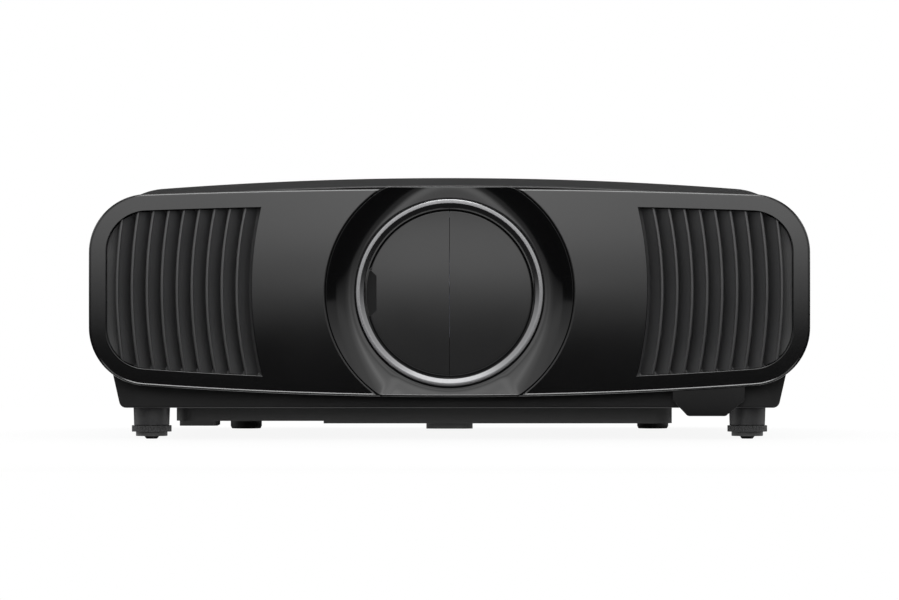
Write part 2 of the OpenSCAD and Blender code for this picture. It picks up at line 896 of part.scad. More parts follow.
socket_r = 13.3;
socket_boss_r = 8;
socket_z = 9.9;
flange_r = 14.45;
flange_z = 5.2;
flange_gap = 0.2;
flange_seat = 0.1;
pad_r = 11.5;
pad_z = 2;
pad_nub_r = [4, 5.5];
pad_pin_r = 3;
pad_pin_h = 4.5;
socket_taper = 0.4;
socket_cap = 2;
screw_end_gap = 6;
knurl_r = 0.7;
knurl_out = 0.3;
knurls = 40;
socket_spare = 13.2;
socket_top = case_z + foot_travel + socket_spare;

module at_front_foot(side) {
  translate([side * front_foot_x, y_at(front_foot_depth), 0])
    children();
}

module foot_sockets() {
  color(case_grey)
    for (side = [-1, 1])
      at_front_foot(side)
        difference() {
          union() {
            translate([0, 0, socket_z])
              cylinder(r1 = socket_r - socket_taper, r2 = socket_r, h = case_z - socket_z);
            translate([0, 0, socket_z])
              cylinder(r = socket_boss_r, h = socket_top - socket_z);
          }
          translate([0, 0, socket_z - over])
            cylinder(r = foot_screw_r + shaft_gap, h = socket_top - socket_z + over - socket_cap);
        }
}

// A knurled flange on a screw, turned on the pad's pin
module foot_screw(side) {
  color(key_grey)
    at_front_foot(side)
      difference() {
        union() {
          translate([0, 0, flange_z])
            cylinder(r = flange_r, h = socket_z - flange_gap - flange_z);
          translate([0, 0, flange_z])
            cylinder(r = foot_screw_r, h = socket_top - screw_end_gap - flange_z);
        }
        translate([0, 0, flange_z - over])
          cylinder(r = pad_pin_r + shaft_gap, h = pad_pin_h + 0.5 + over);
        for (i = [0:knurls - 1])
          rotate(i * 360 / knurls)
            translate([flange_r + knurl_out, 0, flange_z - over])
              cylinder(r = knurl_r, h = socket_z - flange_z + over, $fn = 12);
      }
}

module foot_pad(side) {
  color(rubber_black)
    at_front_foot(side) {
      translate([0, 0, pad_z])
        cylinder(r = pad_r, h = flange_z - flange_seat - pad_z);
      cylinder(r1 = pad_nub_r[0], r2 = pad_nub_r[1], h = pad_z);
      translate([0, 0, pad_z])
        cylinder(r = pad_pin_r, h = flange_z + pad_pin_h - pad_z);
    }
}

module left_foot_pad() {
  foot_pad(-1);
}

module left_foot_screw() {
  foot_screw(-1);
}

module right_foot_pad() {
  foot_pad(1);
}

module right_foot_screw() {
  foot_screw(1);
}

// ---- Remote sensor window under the fascia ----

sensor_foot_gap = 30.6;
sensor_foot_half_w = 15.6;
sensor_top_w = [25, 27.6];
sensor_x = front_foot_x - sensor_foot_gap;
sensor_top_x = [sensor_x - sensor_top_w[0], sensor_x + sensor_top_w[1]];
sensor_foot_x = [sensor_x - sensor_foot_half_w, sensor_x + sensor_foot_half_w];
sensor_drop = 89.1;
sensor_t = 6;
sensor_foot_r = 3;
sensor_up = 6;

module sensor_window() {
  bottom_c = lens_z - fascia_drop + fascia_bottom_r;
  foot = lens_z - sensor_drop;
  r = sensor_foot_r;
  color(gloss_black)
    along_y(fascia_return - sensor_t, fascia_return)
      difference() {
        polygon(concat(
          [[sensor_top_x[1], lens_z], [sensor_top_x[0], lens_z]],
          [[sensor_top_x[0], case_z + sensor_up]],
          arc(sensor_foot_x[0] + r, foot + r, r, 215, 270, 4),
          arc(sensor_foot_x[1] - r, foot + r, r, 270, 325, 4),
          [[sensor_top_x[1], case_z + sensor_up]]
        ));
        translate([0, bottom_c])
          circle(r = fascia_bottom_r + fit_gap, $fn = 256);
        polygon(fascia_outline(-fit_gap));
      }
}

// ---- Lens, its rings and the shift mechanism ----

nose_len = 14;
focus_len = 32;
band_t = 2;
zoom_len = 27;
collar_t = 5;
ring_side_gap = 0.5;
lip_r = barrel_r + 4;
collar_r = barrel_r + 10;
glass_seat = 30;
band_depth = lens_front + nose_len + focus_len;
plate_depth = band_depth + band_t + zoom_len + collar_t;
plate_t = 10;
plate_half_w = barrel_r + 20;
plate_half_h = barrel_r + 18;
plate_hole = [barrel_r + 8, barrel_r - 2];
plate_hole_r = 3;
cross_rod_rise = plate_half_h - 4;
end_block_x = plate_half_w + shift_h + 0.8;
end_block_w = 9.5;
back_plate_t = 6;
back_plate_depth = plate_depth + plate_t + 2;
sleeve_half_w = 8;
guide_x = end_block_x + end_block_w + 2 + sleeve_half_w;
guide_depth = plate_depth + plate_t - 1;
sleeve_half_h = 50;
bridge_rise = 70;
bridge_t = 5;
frame_half_t = 8;
sleeve_half_t = 7;
nut_half_w = 8;
nut_half_h = 5;
frame_end = 12;
screw_x = guide_x + sleeve_half_w + 12;
drive_screw_r = 3;
drive_motor_r = 10;
drive_motor_h = 22;
drive_motor_floor = 4;
glass_r = barrel_r - 8;

module lens_barrel() {
  color(rubber_black)
    difference() {
      union() {
        rod_y(0, lens_z, barrel_r, lens_front, lens_front + barrel_len);
        rod_y(0, lens_z, lip_r, lens_front, lens_front + nose_len);
        rod_y(0, lens_z, collar_r, plate_depth - collar_t, plate_depth);
        rod_y(0, lens_z, lip_r, band_depth, band_depth + band_t);
      }
      turned(0, lens_z)
        polygon([[0, lens_front - over], [barrel_r - 1, lens_front - over],
          [glass_r + fit_gap, lens_front + 9], [glass_r + fit_gap, lens_front + glass_seat],
          [glass_r - 4, lens_front + glass_seat], [glass_r - 4, lens_front + barrel_len - 20],
          [glass_r - 10, lens_front + barrel_len - 20], [glass_r - 10, lens_front + barrel_len + over],
          [0, lens_front + barrel_len + over]]);
    }
}

// Front lens group: a crowned face and a flat back
glass_crown_r = 70;
glass_edge = 11;
glass_steps = 12;

// Rise of the crowned face above the glass's edge at a radius
function glass_rise(r) = sqrt(pow(glass_crown_r, 2) - r * r) - sqrt(pow(glass_crown_r, 2) - pow(glass_r, 2));

module lens_glass() {
  color([0.5, 0.55, 0.7, 0.5])
    turned(0, lens_z)
      polygon(concat(
        [[0, lens_front + glass_seat], [glass_r, lens_front + glass_seat]],
        [for (i = [glass_steps:-1:0]) let (r = glass_r * i / glass_steps)
          [r, lens_front + glass_seat - glass_edge - glass_rise(r)]]
      ));
}

grip_grooves = 24;
grip_groove_r = 1;
grip_groove_out = 0.3;
grip_margin = 2;

// A ring turned by hand on the barrel, with grooves for the fingers
module grip_ring(depth0, depth1) {
  color(key_grey)
    difference() {
      rod_y(0, lens_z, ring_grip_r, depth0, depth1);
      rod_y(0, lens_z, barrel_r + shaft_gap, depth0 - over, depth1 + over);
      for (i = [0:grip_grooves - 1])
        translate([0, 0, lens_z])
          rotate([0, i * 360 / grip_grooves, 0])
            translate([0, 0, -lens_z])
              rod_y(0, lens_z + ring_grip_r + grip_groove_out, grip_groove_r,
                depth0 + grip_margin, depth1 - grip_margin);
    }
}

module focus_ring() {
  grip_ring(lens_front + nose_len + ring_side_gap, band_depth - ring_side_gap);
}

module zoom_ring() {
  grip_ring(band_depth + band_t + ring_side_gap, plate_depth - collar_t - ring_side_gap);
}

module horizontal_carriage() {
  y0 = y_at(plate_depth);
  color(steel)
    difference() {
      slab([-plate_half_w, plate_half_w], [y0, y0 + plate_t],
        [lens_z - plate_half_h, lens_z + plate_half_h]);
      rod_y(0, lens_z, barrel_r + fit_gap, plate_depth - over, plate_depth + plate_t + over);
      for (side = [-1, 1])
        rod_x(-plate_half_w - over, plate_half_w + over, y0 + plate_t / 2,
          lens_z + side * cross_rod_rise, cross_rod_r + shaft_gap);
      for (sx = [-1, 1])
        for (sz = [-1, 1])
          rod_y(sx * plate_hole[0], lens_z + sz * plate_hole[1], plate_hole_r, plate_depth - over,
            plate_depth + plate_t + over);
    }
}

module vertical_carriage() {
  y0 = y_at(plate_depth);
  yb = y_at(back_plate_depth);
  outer = end_block_x + end_block_w;
  color(steel)
    difference() {
      union() {
        for (side = [-1, 1]) {
          rod_x(-outer + over, outer - over, y0 + plate_t / 2, lens_z + side * cross_rod_rise,
            cross_rod_r);
          slab(side < 0 ? [-outer, -end_block_x] : [end_block_x, outer], [y0, yb + over],
            [lens_z - plate_half_h - 1, lens_z + plate_half_h + 1]);
          slab(side < 0 ? [-guide_x - sleeve_half_w, -outer + over]
              : [outer - over, guide_x + sleeve_half_w],
            [y_at(guide_depth - sleeve_half_t), y_at(guide_depth + sleeve_half_t)],
            [lens_z - sleeve_half_h, lens_z + sleeve_half_h]);
        }
        slab([-outer, outer], [yb, yb + back_plate_t],
          [lens_z - plate_half_h - 1, lens_z + plate_half_h + 1]);
        slab([guide_x, screw_x + nut_half_w],
          [y_at(guide_depth - sleeve_half_t), y_at(guide_depth + sleeve_half_t)],
          [lens_z - nut_half_h, lens_z + nut_half_h]);
      }
      for (dx = [-1, 1])
        rod_y(dx * shift_h, lens_z, barrel_r + 2, back_plate_depth - over,
          back_plate_depth + back_plate_t + over);
      slab([-shift_h, shift_h], [yb - over, yb + back_plate_t + over],
        [lens_z - barrel_r - 2, lens_z + barrel_r + 2]);
      for (side = [-1, 1])
        rod_z(side * guide_x, y_at(guide_depth), guide_r + shaft_gap,
          lens_z - sleeve_half_h - over, lens_z + sleeve_half_h + over);
      rod_z(screw_x, y_at(guide_depth), drive_screw_r + shaft_gap, lens_z - nut_half_h - over,
        lens_z + nut_half_h + over);
    }
}

module shift_frame() {
  y = [y_at(guide_depth) - frame_half_t, y_at(guide_depth) + frame_half_t];
  color(steel)
    difference() {
      union() {
        slab([-guide_x - frame_end, screw_x + frame_end], y, [floor_z, lens_z - bridge_rise]);
        slab([-guide_x - frame_end, screw_x + frame_end], y,
          [lens_z + bridge_rise, lens_z + bridge_rise + bridge_t]);
        for (side = [-1, 1])
          rod_z(side * guide_x, y_at(guide_depth), guide_r, floor_z, lens_z + bridge_rise + over);
      }
      rod_z(screw_x, y_at(guide_depth), drive_screw_r + shaft_gap, lens_z + bridge_rise - over,
        lens_z + bridge_rise + bridge_t + over);
    }
  color(rubber_black)
    difference() {
      rod_z(screw_x, y_at(guide_depth), drive_motor_r, lens_z - bridge_rise,
        lens_z - bridge_rise + drive_motor_h);
      rod_z(screw_x, y_at(guide_depth), drive_screw_r + shaft_gap,
        lens_z - bridge_rise + drive_motor_floor,
        lens_z - bridge_rise + drive_motor_h + over);
    }
}

module vertical_screw() {
  color(steel)
    rod_z(screw_x, y_at(guide_depth), drive_screw_r, lens_z - bridge_rise + drive_motor_floor + over,
      lens_z + bridge_rise + bridge_t);
}

// ---- Light source and optics ----

engine_half_w = 108;
engine_len = 148;
engine_gap = 6;
engine_drop = 60;
engine_rise = 44;
engine_x = [-engine_half_w, engine_half_w];
engine_depth = [lens_front + barrel_len + engine_gap, lens_front + barrel_len + engine_gap + engine_len];
engine_z = [lens_z - engine_drop, lens_z + engine_rise];
metal_t = 2.5;
prism = 40;
prism_depth = engine_depth[0] + 18;
leg_r = 6;
leg_inset = 14;
board_post_h = 8;
board_z = engine_z[1] + board_post_h;
board_t = 1.6;

module box_shell(x, y, z, t) {
  difference() {
    slab(x, y, z);
    slab([x[0] + t, x[1] - t], [y[0] + t, y[1] - t], [z[0] + t, z[1] - t]);
    children();
  }
}

module optical_engine() {
  y = [y_at(engine_depth[0]), y_at(engine_depth[1])];
  prism_y = y_at(prism_depth);
  color(steel) {
    box_shell(engine_x, y, engine_z, metal_t)
      rod_y(0, lens_z, barrel_r + shift_v + 1, engine_depth[0] - over, engine_depth[0] + metal_t + over);
    slab([-prism / 2, prism / 2], [prism_y, prism_y + prism],
      [engine_z[0] + metal_t / 2, lens_z - prism / 2]);
    for (x = [engine_x[0] + leg_inset, engine_x[1] - leg_inset])
      for (leg_y = [y[0] + leg_inset, y[1] - leg_inset]) {
        rod_z(x, leg_y, leg_r, floor_z, engine_z[0] + over);
        rod_z(x, leg_y, leg_r / 2, engine_z[1] - over, board_z);
      }
  }
}

module prism_block() {
  y = y_at(prism_depth);
  color([0.6, 0.7, 0.8, 0.6])
    slab([-prism / 2, prism / 2], [y, y + prism], [lens_z - prism / 2, lens_z + prism / 2]);
}

side_gap = 24;
laser_len = 94;
laser_drop = 56;
laser_rise = 34;
front_fan_depth = post_front_depth + post_r + 2;
laser_x = [side_gap - case_half_w, engine_x[0]];
laser_depth = [engine_depth[1] - laser_len, engine_depth[1]];
laser_z = [lens_z - laser_drop, lens_z + laser_rise];
wheel_r = 30;
wheel_t = 1.2;
wheel_hub_r = 8;
wheel_hub_t = 6;
wheel_shaft_r = 2;
wheel_shaft_len = 16;
wheel_motor_half_w = 10;
wheel_motor_t = 12;
wheel_x = (laser_x[0] + laser_x[1]) / 2;
wheel_z = lens_z - 10;
wheel_depth = laser_depth[0] + laser_len / 2 - 2;

module laser_module() {
  y = [y_at(laser_depth[0]), y_at(laser_depth[1])];
  motor_depth = wheel_depth + wheel_hub_t + 2;
  color(steel)
    difference() {
      union() {
        box_shell(laser_x, y, laser_z, metal_t);
        slab([wheel_x - wheel_motor_half_w, wheel_x + wheel_motor_half_w],
          [y_at(motor_depth), y_at(motor_depth + wheel_motor_t)],
          [laser_z[0] + over, wheel_z + wheel_hub_r]);
        for (x = [laser_x[0] + leg_inset, laser_x[1] - leg_inset])
          for (leg_y = [y[0] + leg_inset, y[1] - leg_inset])
            rod_z(x, leg_y, leg_r, floor_z, laser_z[0] + over);
      }
      rod_y(wheel_x, wheel_z, wheel_shaft_r + shaft_gap, wheel_depth, wheel_depth + wheel_shaft_len + 2);
    }
}

module phosphor_wheel() {
  color(brass) {
    rod_y(wheel_x, wheel_z, wheel_r, wheel_depth, wheel_depth + wheel_t);
    rod_y(wheel_x, wheel_z, wheel_hub_r, wheel_depth, wheel_depth + wheel_hub_t);
    rod_y(wheel_x, wheel_z, wheel_shaft_r, wheel_depth + wheel_hub_t - over, wheel_depth + wheel_shaft_len);
  }
}

fan_space = 22;
sink_depth = [front_fan_depth + fan_t + fan_space, laser_depth[0]];
sink_base_t = 8;
sink_foot_t = 6;
fin_t = 1.6;
fin_pitch = 6.4;

module heat_sink() {
  x = [laser_x[0], -guide_x - side_gap];
  fins = floor((x[1] - x[0] - fin_t) / fin_pitch);
  color(silver) {
    slab(x, [y_at(sink_depth[1] - sink_base_t), y_at(sink_depth[1])], laser_z);
    for (i = [0:fins])
      slab([x[0] + i * fin_pitch, x[0] + i * fin_pitch + fin_t],
        [y_at(sink_depth[0]), y_at(sink_depth[1] - over)], laser_z);
    for (depth = [sink_depth[0] + sink_base_t, sink_depth[1] - sink_base_t - sink_foot_t])
      slab([x[0] + sink_base_t, x[1] - sink_base_t], [y_at(depth), y_at(depth + sink_foot_t)],
        [floor_z, laser_z[0] + over]);
  }
}

// ---- Fans ----

rear_fan_depth = laser_depth[1] + leg_inset;
front_fan_x = case_half_w - fan_side / 2 - 20;
rear_fan_x = laser_x[0] + fan_side / 2 + leg_inset;
fan_z = lens_z;
fan_shaft_r = 1.6;
fan_boss_t = 4;
fan_strut_half_w = 2;
fan_leg_half_w = 6;
fan_leg_inset = 14;
fan_hole_inset = 6;
fan_hole_r = 2.2;
fan_wall = 2;
blade_half_t = 0.9;
blade_half_w = 11;
blade_pitch_angle = 38;
front_fans = [[-front_fan_x, front_fan_depth], [front_fan_x, front_fan_depth]];

module fan_frame(x, depth) {
  half = fan_side / 2;
  difference() {
    union() {
      difference() {
        slab([x - half, x + half], [y_at(depth), y_at(depth + fan_t)], [fan_z - half, fan_z + half]);
        rod_y(x, fan_z, fan_bore_r, depth - over, depth + fan_t + over);
      }
      rod_y(x, fan_z, fan_hub_r, depth + fan_t - fan_boss_t, depth + fan_t);
      for (a = [45, 135, 225, 315])
        translate([x, y_at(depth + fan_t - fan_boss_t), fan_z])
          rotate([0, a, 0])
            slab([fan_hub_r - fan_wall, fan_bore_r + 3], [0.5, fan_boss_t - 0.5],
              [-fan_strut_half_w, fan_strut_half_w]);
      for (side = [-1, 1])
        translate([x + side * (half - fan_leg_inset), 0, 0])
          slab([-fan_leg_half_w, fan_leg_half_w], [y_at(depth), y_at(depth + fan_t)],
            [floor_z, fan_z - half + over]);
    }
    rod_y(x, fan_z, fan_shaft_r + shaft_gap, depth + fan_t - fan_boss_t - over, depth + fan_t + over);
    for (sx = [-1, 1])
      for (sz = [-1, 1])
        rod_y(x + sx * (half - fan_hole_inset), fan_z + sz * (half - fan_hole_inset), fan_hole_r,
          depth - over, depth + fan_t + over);
  }
}

module fan_frames() {
  color(rubber_black) {
    for (fan = front_fans)
      fan_frame(fan[0], fan[1]);
    fan_frame(rear_fan_x, rear_fan_depth);
  }
}

module fan_rotor(x, depth) {
  tip_r = fan_bore_r - fan_tip_gap;
  start = depth + fan_wall;
  end = depth + fan_t - fan_boss_t - 1;
  color(rubber_black) {
    difference() {
      rod_y(x, fan_z, fan_hub_r, start, end);
      rod_y(x, fan_z, fan_hub_r - fan_wall, start + 2 * fan_wall, end + over);
    }
    rod_y(x, fan_z, fan_shaft_r, start + over, depth + fan_t - 0.5);
    intersection() {
      for (i = [0:fan_blades - 1])
        translate([x, y_at((start + end) / 2), fan_z])
          rotate([0, i * 360 / fan_blades, 0])
            rotate([blade_pitch_angle, 0, 0])
              slab([fan_hub_r - over, tip_r + over], [-blade_half_t, blade_half_t],
                [-blade_half_w, blade_half_w]);
      rod_y(x, fan_z, tip_r, start, end);
    }
  }
}

module left_fan_rotor() {
  fan_rotor(-front_fan_x, front_fan_depth);
}

module right_fan_rotor() {
  fan_rotor(front_fan_x, front_fan_depth);
}

module rear_fan_rotor() {
  fan_rotor(rear_fan_x, rear_fan_depth);
}

// ---- Electronics ----

board_end = [4, 90];
board_ends_y = [4, 50];

// Chips and connectors on the board: place from its left front corner, and size
board_chips = [
  [[64, 30], [40, 40, 3]],
  [[134, 30], [26, 26, 2]],
  [[174, 80], [26, 12, 5]],
  [[24, 100], [50, 8, 8]]
];

module main_board() {
  x = [engine_x[0] + board_end[0], engine_x[1] + board_end[1]];
  y = [y_at(engine_depth[0] + board_ends_y[0]), y_at(engine_depth[1] + board_ends_y[1])];
  color(board_green)
    slab(x, y, [board_z, board_z + board_t]);
  color(rubber_black)
    for (chip = board_chips)
      translate([x[0] + chip[0][0], y[0] + chip[0][1], board_z + board_t])
        cube(chip[1]);
}

supply_x = [screw_x + frame_end + 2, case_half_w - side_gap - leg_r];
supply_depth = [front_fan_depth + fan_t + fan_space, engine_depth[1]];
supply_h = lens_z - floor_z - fan_space;
supply_t = 1.5;
supply_margin = [20, 30];
slot_w = 4;
slot_pitch = 11;

module power_supply() {
  y = [y_at(supply_depth[0]), y_at(supply_depth[1])];
  slots = floor((y[1] - y[0] - 2 * supply_margin[1]) / slot_pitch);
  color(steel)
    box_shell(supply_x, y, [floor_z, floor_z + supply_h], supply_t)
      for (i = [0:slots - 1])
        slab([supply_x[0] + supply_margin[0], supply_x[1] - supply_margin[0]],
          [y[0] + supply_margin[1] + i * slot_pitch, y[0] + supply_margin[1] + slot_w + i * slot_pitch],
          [floor_z + supply_h - 2 * supply_t, floor_z + supply_h + over]);
}

// ---- Rear panel, connectors and air filter ----

panel_lip = 4;
panel_back = rear_y - wall;
lip_t = 2;
port_w = 150;
port_h = 68;
port_up = 24;
port_wall = 2;
port_plate_t = 2;
port_plate_y = rear_y - port_recess;
inlet_x = rear_open_half_w - 35;
inlet_w = 27.4;
inlet_h = 19.8;
port_x = [inlet_x - 40 - port_w, inlet_x - 40];
port_z = [rear_open_z[0] + port_up, rear_open_z[0] + port_up + port_h];
upper_row_z = port_z[1] - 16;
lower_row_z = port_z[0] + 20;
inlet_z = lower_row_z;
filter_x = 3 - rear_open_half_w + filter_w / 2;
filter_z0 = rear_open_z[0] + 12;
hinge_rise = 2.3;
hinge_y = rear_y - wall / 2;
hinge_z = filter_z0 + hinge_rise;
hinge_pin_r = 0.8;
hinge_pin_len = 2;
cover_gap = 0.5;
vent_w = 5;
vent_h = 12;
vent_pitch = 9.6;
vent_up = 8;

module rear_panel() {
  x = rear_open_half_w;
  color(case_grey)
    difference() {
      union() {
        slab([-x + fit_gap, x - fit_gap], [panel_back - over, rear_y],
          [rear_open_z[0] + fit_gap, rear_open_z[1] - fit_gap]);
        slab([-x - panel_lip, x + panel_lip], [panel_back - lip_t, panel_back],
          [rear_open_z[0] - panel_lip, rear_open_z[1] + panel_lip]);
        slab([port_x[0] - port_wall, port_x[1] + port_wall], [port_plate_y, panel_back],
          [port_z[0] - port_wall, port_z[1] + port_wall]);
      }
      slab(port_x, [port_plate_y - over, rear_y + over], port_z);
      slab([filter_x - filter_w / 2, filter_x + filter_w / 2], [panel_back - lip_t - over, rear_y + over],
        [filter_z0, filter_z0 + filter_h]);
      rod_x(filter_x - filter_w / 2 - hinge_pin_len, filter_x + filter_w / 2 + hinge_pin_len, hinge_y,
        hinge_z, hinge_pin_r + shaft_gap);
      slab([inlet_x - inlet_w / 2 - fit_gap, inlet_x + inlet_w / 2 + fit_gap],
        [panel_back - lip_t - over, rear_y + over],
        [inlet_z - inlet_h / 2 - fit_gap, inlet_z + inlet_h / 2 + fit_gap]);
      // Row of intake slots above the connectors
      for (i = [0:floor((port_w - vent_w) / vent_pitch)])
        translate([port_x[0] + i * vent_pitch, 0, port_z[1] + vent_up])
          slab([0, vent_w], [panel_back - lip_t - over, rear_y + over], [0, vent_h]);
    }
}

// Connectors by place: middle, and the outer width and height of the shell
hdmi_size = [15.4, 7];
hdmi_places = [[port_x[0] + 28, upper_row_z], [port_x[0] + 54, upper_row_z]];
usb_size = [14.6, 7.6];
usb_place = [port_x[0] + 80, upper_row_z];
lan_size = [16, 13.6];
lan_place = [port_x[0] + 108, upper_row_z - 3];
serial_size = [31, 12.4];
serial_place = [port_x[0] + 40, lower_row_z];
serial_shell = 1;
serial_core = [17, 7.6];
serial_depth = 6;
jack_r = 3.6;
jack_bore_r = 1.78;
jack_places = [[port_x[0] + 80, lower_row_z], [port_x[0] + 98, lower_row_z]];
socket_len = 14;
socket_back = 4;
socket_y = port_plate_y - 0.4;
tongue_inset = 3;
tongue_half_t = 0.6;
tongue_len = 8;
hdmi_shell = 0.8;
lan_shell = 1.4;

module hole_for(place, size) {
  slab([place[0] - size[0] / 2 - fit_gap, place[0] + size[0] / 2 + fit_gap],
    [port_plate_y - port_plate_t - over, port_plate_y + over],
    [place[1] - size[1] / 2 - fit_gap, place[1] + size[1] / 2 + fit_gap]);
}

module port_plate() {
  color(rubber_black)
    difference() {
      slab([port_x[0] - port_wall, port_x[1] + port_wall], [port_plate_y - port_plate_t, port_plate_y],
        [port_z[0] - port_wall, port_z[1] + port_wall]);
      for (place = hdmi_places)
        hole_for(place, hdmi_size);
      hole_for(usb_place, usb_size);
      hole_for(lan_place, lan_size);
      hole_for(serial_place, serial_size);
      for (place = jack_places)
        translate([place[0], port_plate_y + over, place[1]])
          rotate([90, 0, 0])
            cylinder(r = jack_r + fit_gap, h = port_plate_t + 2 * over);
    }
}

// A connector's shell with its mouth to the rear and a tongue deep inside
module socket(place, size, shell) {
  x = [place[0] - size[0] / 2, place[0] + size[0] / 2];
  z = [place[1] - size[1] / 2, place[1] + size[1] / 2];
  y = [socket_y - socket_len, socket_y];
  difference() {
    slab(x, y, z);
    slab([x[0] + shell, x[1] - shell], [y[0] + socket_back, y[1] + over], [z[0] + shell, z[1] - shell]);
  }
  slab([x[0] + tongue_inset, x[1] - tongue_inset], [y[0] + socket_back / 2, y[0] + tongue_len],
    [place[1] - tongue_half_t, place[1] + tongue_half_t]);
}

module hdmi_sockets() {
  color(silver)
    for (place = hdmi_places)
      socket(place, hdmi_size, hdmi_shell);
}

module data_sockets() {
  color(silver) {
    socket(usb_place, usb_size, hdmi_shell);
    socket(lan_place, lan_size, lan_shell);
  }
}

module control_sockets() {
  color(silver) {
    difference() {
      slab([serial_place[0] - serial_size[0] / 2, serial_place[0] + serial_size[0] / 2],
        [socket_y - socket_len, socket_y],
        [serial_place[1] - serial_size[1] / 2, serial_place[1] + serial_size[1] / 2]);
      translate([serial_place[0], socket_y + over, serial_place[1]])
        rotate([90, 0, 0])
          linear_extrude(serial_depth + over)
            difference() {
              square([serial_size[0] - 2 * serial_shell, serial_size[1] - 2 * serial_shell], center = true);
              square(serial_core, center = true);
            }
    }
    for (place = jack_places)
      translate([place[0], socket_y, place[1]])
        rotate([90, 0, 0])
          difference() {
            cylinder(r = jack_r, h = socket_len);
            translate([0, 0, -over])
              cylinder(r = jack_bore_r, h = socket_len - 1 + over);
          }
  }
}

board_margin = 6;
board_hole_r = 1.6;
pillar_r = 2.5;
pillar_inset = 5;

module port_board() {
  y1 = socket_y - socket_len;
  ends = [port_x[0] + pillar_inset, port_x[1] - pillar_inset];
  color(board_green)
    difference() {
      slab(port_x, [y1 - board_t, y1], [port_z[0] - board_margin, port_z[1] + board_margin]);
      for (x = ends)
        translate([x, y1 + over, port_z[0]])
          rotate([90, 0, 0])
            cylinder(r = board_hole_r, h = board_t + 2 * over);
    }
  color(brass)
    for (x = ends)
      translate([x, port_plate_y - port_plate_t, port_z[1]])
        rotate([90, 0, 0])
          cylinder(r = pillar_r, h = socket_len + socket_y - port_plate_y + port_plate_t);
}

// Mains inlet with three pins, set in the rear panel
inlet_flange = 3;
inlet_flange_t = 2;
inlet_mouth = [24, 16];
inlet_depth = 15;
inlet_floor = 4;
inlet_pins = [[-7, -1.5], [0, 1.8], [7, -1.5]];
pin_half = [1, 2];
pin_back = 5;

module power_inlet() {
  flange_y = panel_back - lip_t;
  translate([inlet_x, 0, inlet_z]) {
    color(rubber_black)
      difference() {
        union() {
          slab([-inlet_w / 2, inlet_w / 2], [rear_y - inlet_depth - inlet_floor, rear_y],
            [-inlet_h / 2, inlet_h / 2]);
          slab([-inlet_w / 2 - inlet_flange, inlet_w / 2 + inlet_flange],
            [flange_y - inlet_flange_t, flange_y],
            [-inlet_h / 2 - inlet_flange, inlet_h / 2 + inlet_flange]);
        }
        slab([-inlet_mouth[0] / 2, inlet_mouth[0] / 2], [rear_y - inlet_depth, rear_y + over],
          [-inlet_mouth[1] / 2, inlet_mouth[1] / 2]);
      }
    color(brass)
      for (pin = inlet_pins)
        translate([pin[0], 0, pin[1]])
          slab([-pin_half[0], pin_half[0]], [rear_y - inlet_depth - over, rear_y - pin_back],
            [-pin_half[1], pin_half[1]]);
  }
}

cover_foot = 1.2;
slats = 11;
slat_margin = [10, 8];
finger_r = 10;
finger_up = 4;

module filter_cover() {
  x = [filter_x - filter_w / 2 + cover_gap, filter_x + filter_w / 2 - cover_gap];
  z = [hinge_z - cover_foot, filter_z0 + filter_h - cover_gap];
  slat_pitch = (z[1] - z[0] - 2 * slat_margin[1]) / slats;
  color(case_grey) {
    difference() {
      slab(x, [rear_y - wall, rear_y], z);
      for (i = [0:slats - 1])
        translate([0, 0, z[0] + slat_margin[1] + i * slat_pitch])
          slab([x[0] + slat_margin[0], x[1] - slat_margin[0]], [rear_y - wall - over, rear_y + over],
            [slat_pitch / 4, slat_pitch * 3 / 4]);
      // Finger notch at the top
      rod_y(filter_x, z[1] + finger_up, finger_r, body_d - wall / 2, body_d + over);
    }
    for (side = [0, 1])
      rod_x(side == 0 ? x[0] - hinge_pin_len : x[1] - over,
        side == 0 ? x[0] + over : x[1] + hinge_pin_len, hinge_y, hinge_z, hinge_pin_r);
  }
}

filter_margin = 5;
pleats = 22;
pleat_rim = 4;
pleat_floor = 3;

module air_filter() {
  x = [filter_x - filter_w / 2 + filter_margin, filter_x + filter_w / 2 - filter_margin];
  z = [hinge_z + filter_margin, filter_z0 + filter_h - filter_margin - 1];
  y = [rear_y - wall - filter_t, rear_y - wall];
  pitch = (x[1] - x[0] - 2 * pleat_rim) / pleats;
  color([0.75, 0.75, 0.72])
    difference() {
      slab(x, y, z);
      for (i = [0:pleats - 1])
        translate([x[0] + pleat_rim + i * pitch, 0, 0])
          slab([0.3 * pitch, 0.7 * pitch], [y[0] - over, y[1] - pleat_floor],
            [z[0] + pleat_rim, z[1] - pleat_rim]);
    }
}

// ---- Control panel on the right side ----

keys_sunk = 0.6;
keys_face_x = case_half_w - keys_sunk;
keys_plate_t = 2.4;
keys_lip = 3;
keys_lip_t = 1.5;
key_gap = 0.2;
key_proud = 0.8;
key_flange = 0.8;
key_shoulder = 0.6;
key_stem_r = 1;
key_stem_gap = 0.1;
keys_wall = 1;
keys_rim_depth = 3;
large_key_pitch = 16;
pad_y = keys_y - 26;
large_key_y = [for (i = [0:2]) keys_y + 4 + i * large_key_pitch];
lamp_y = keys_y + 44;
lamp_r = 1.2;
small_places = [
  [pad_y, keys_z], [pad_y, keys_z + arrow_pitch], [pad_y, keys_z - arrow_pitch],
  [pad_y - arrow_pitch, keys_z], [pad_y + arrow_pitch, keys_z]
];
lamp_rise = 6;
switch_h = 1.4;
board_x = keys_face_x - keys_plate_t - key_flange - key_travel - switch_h;

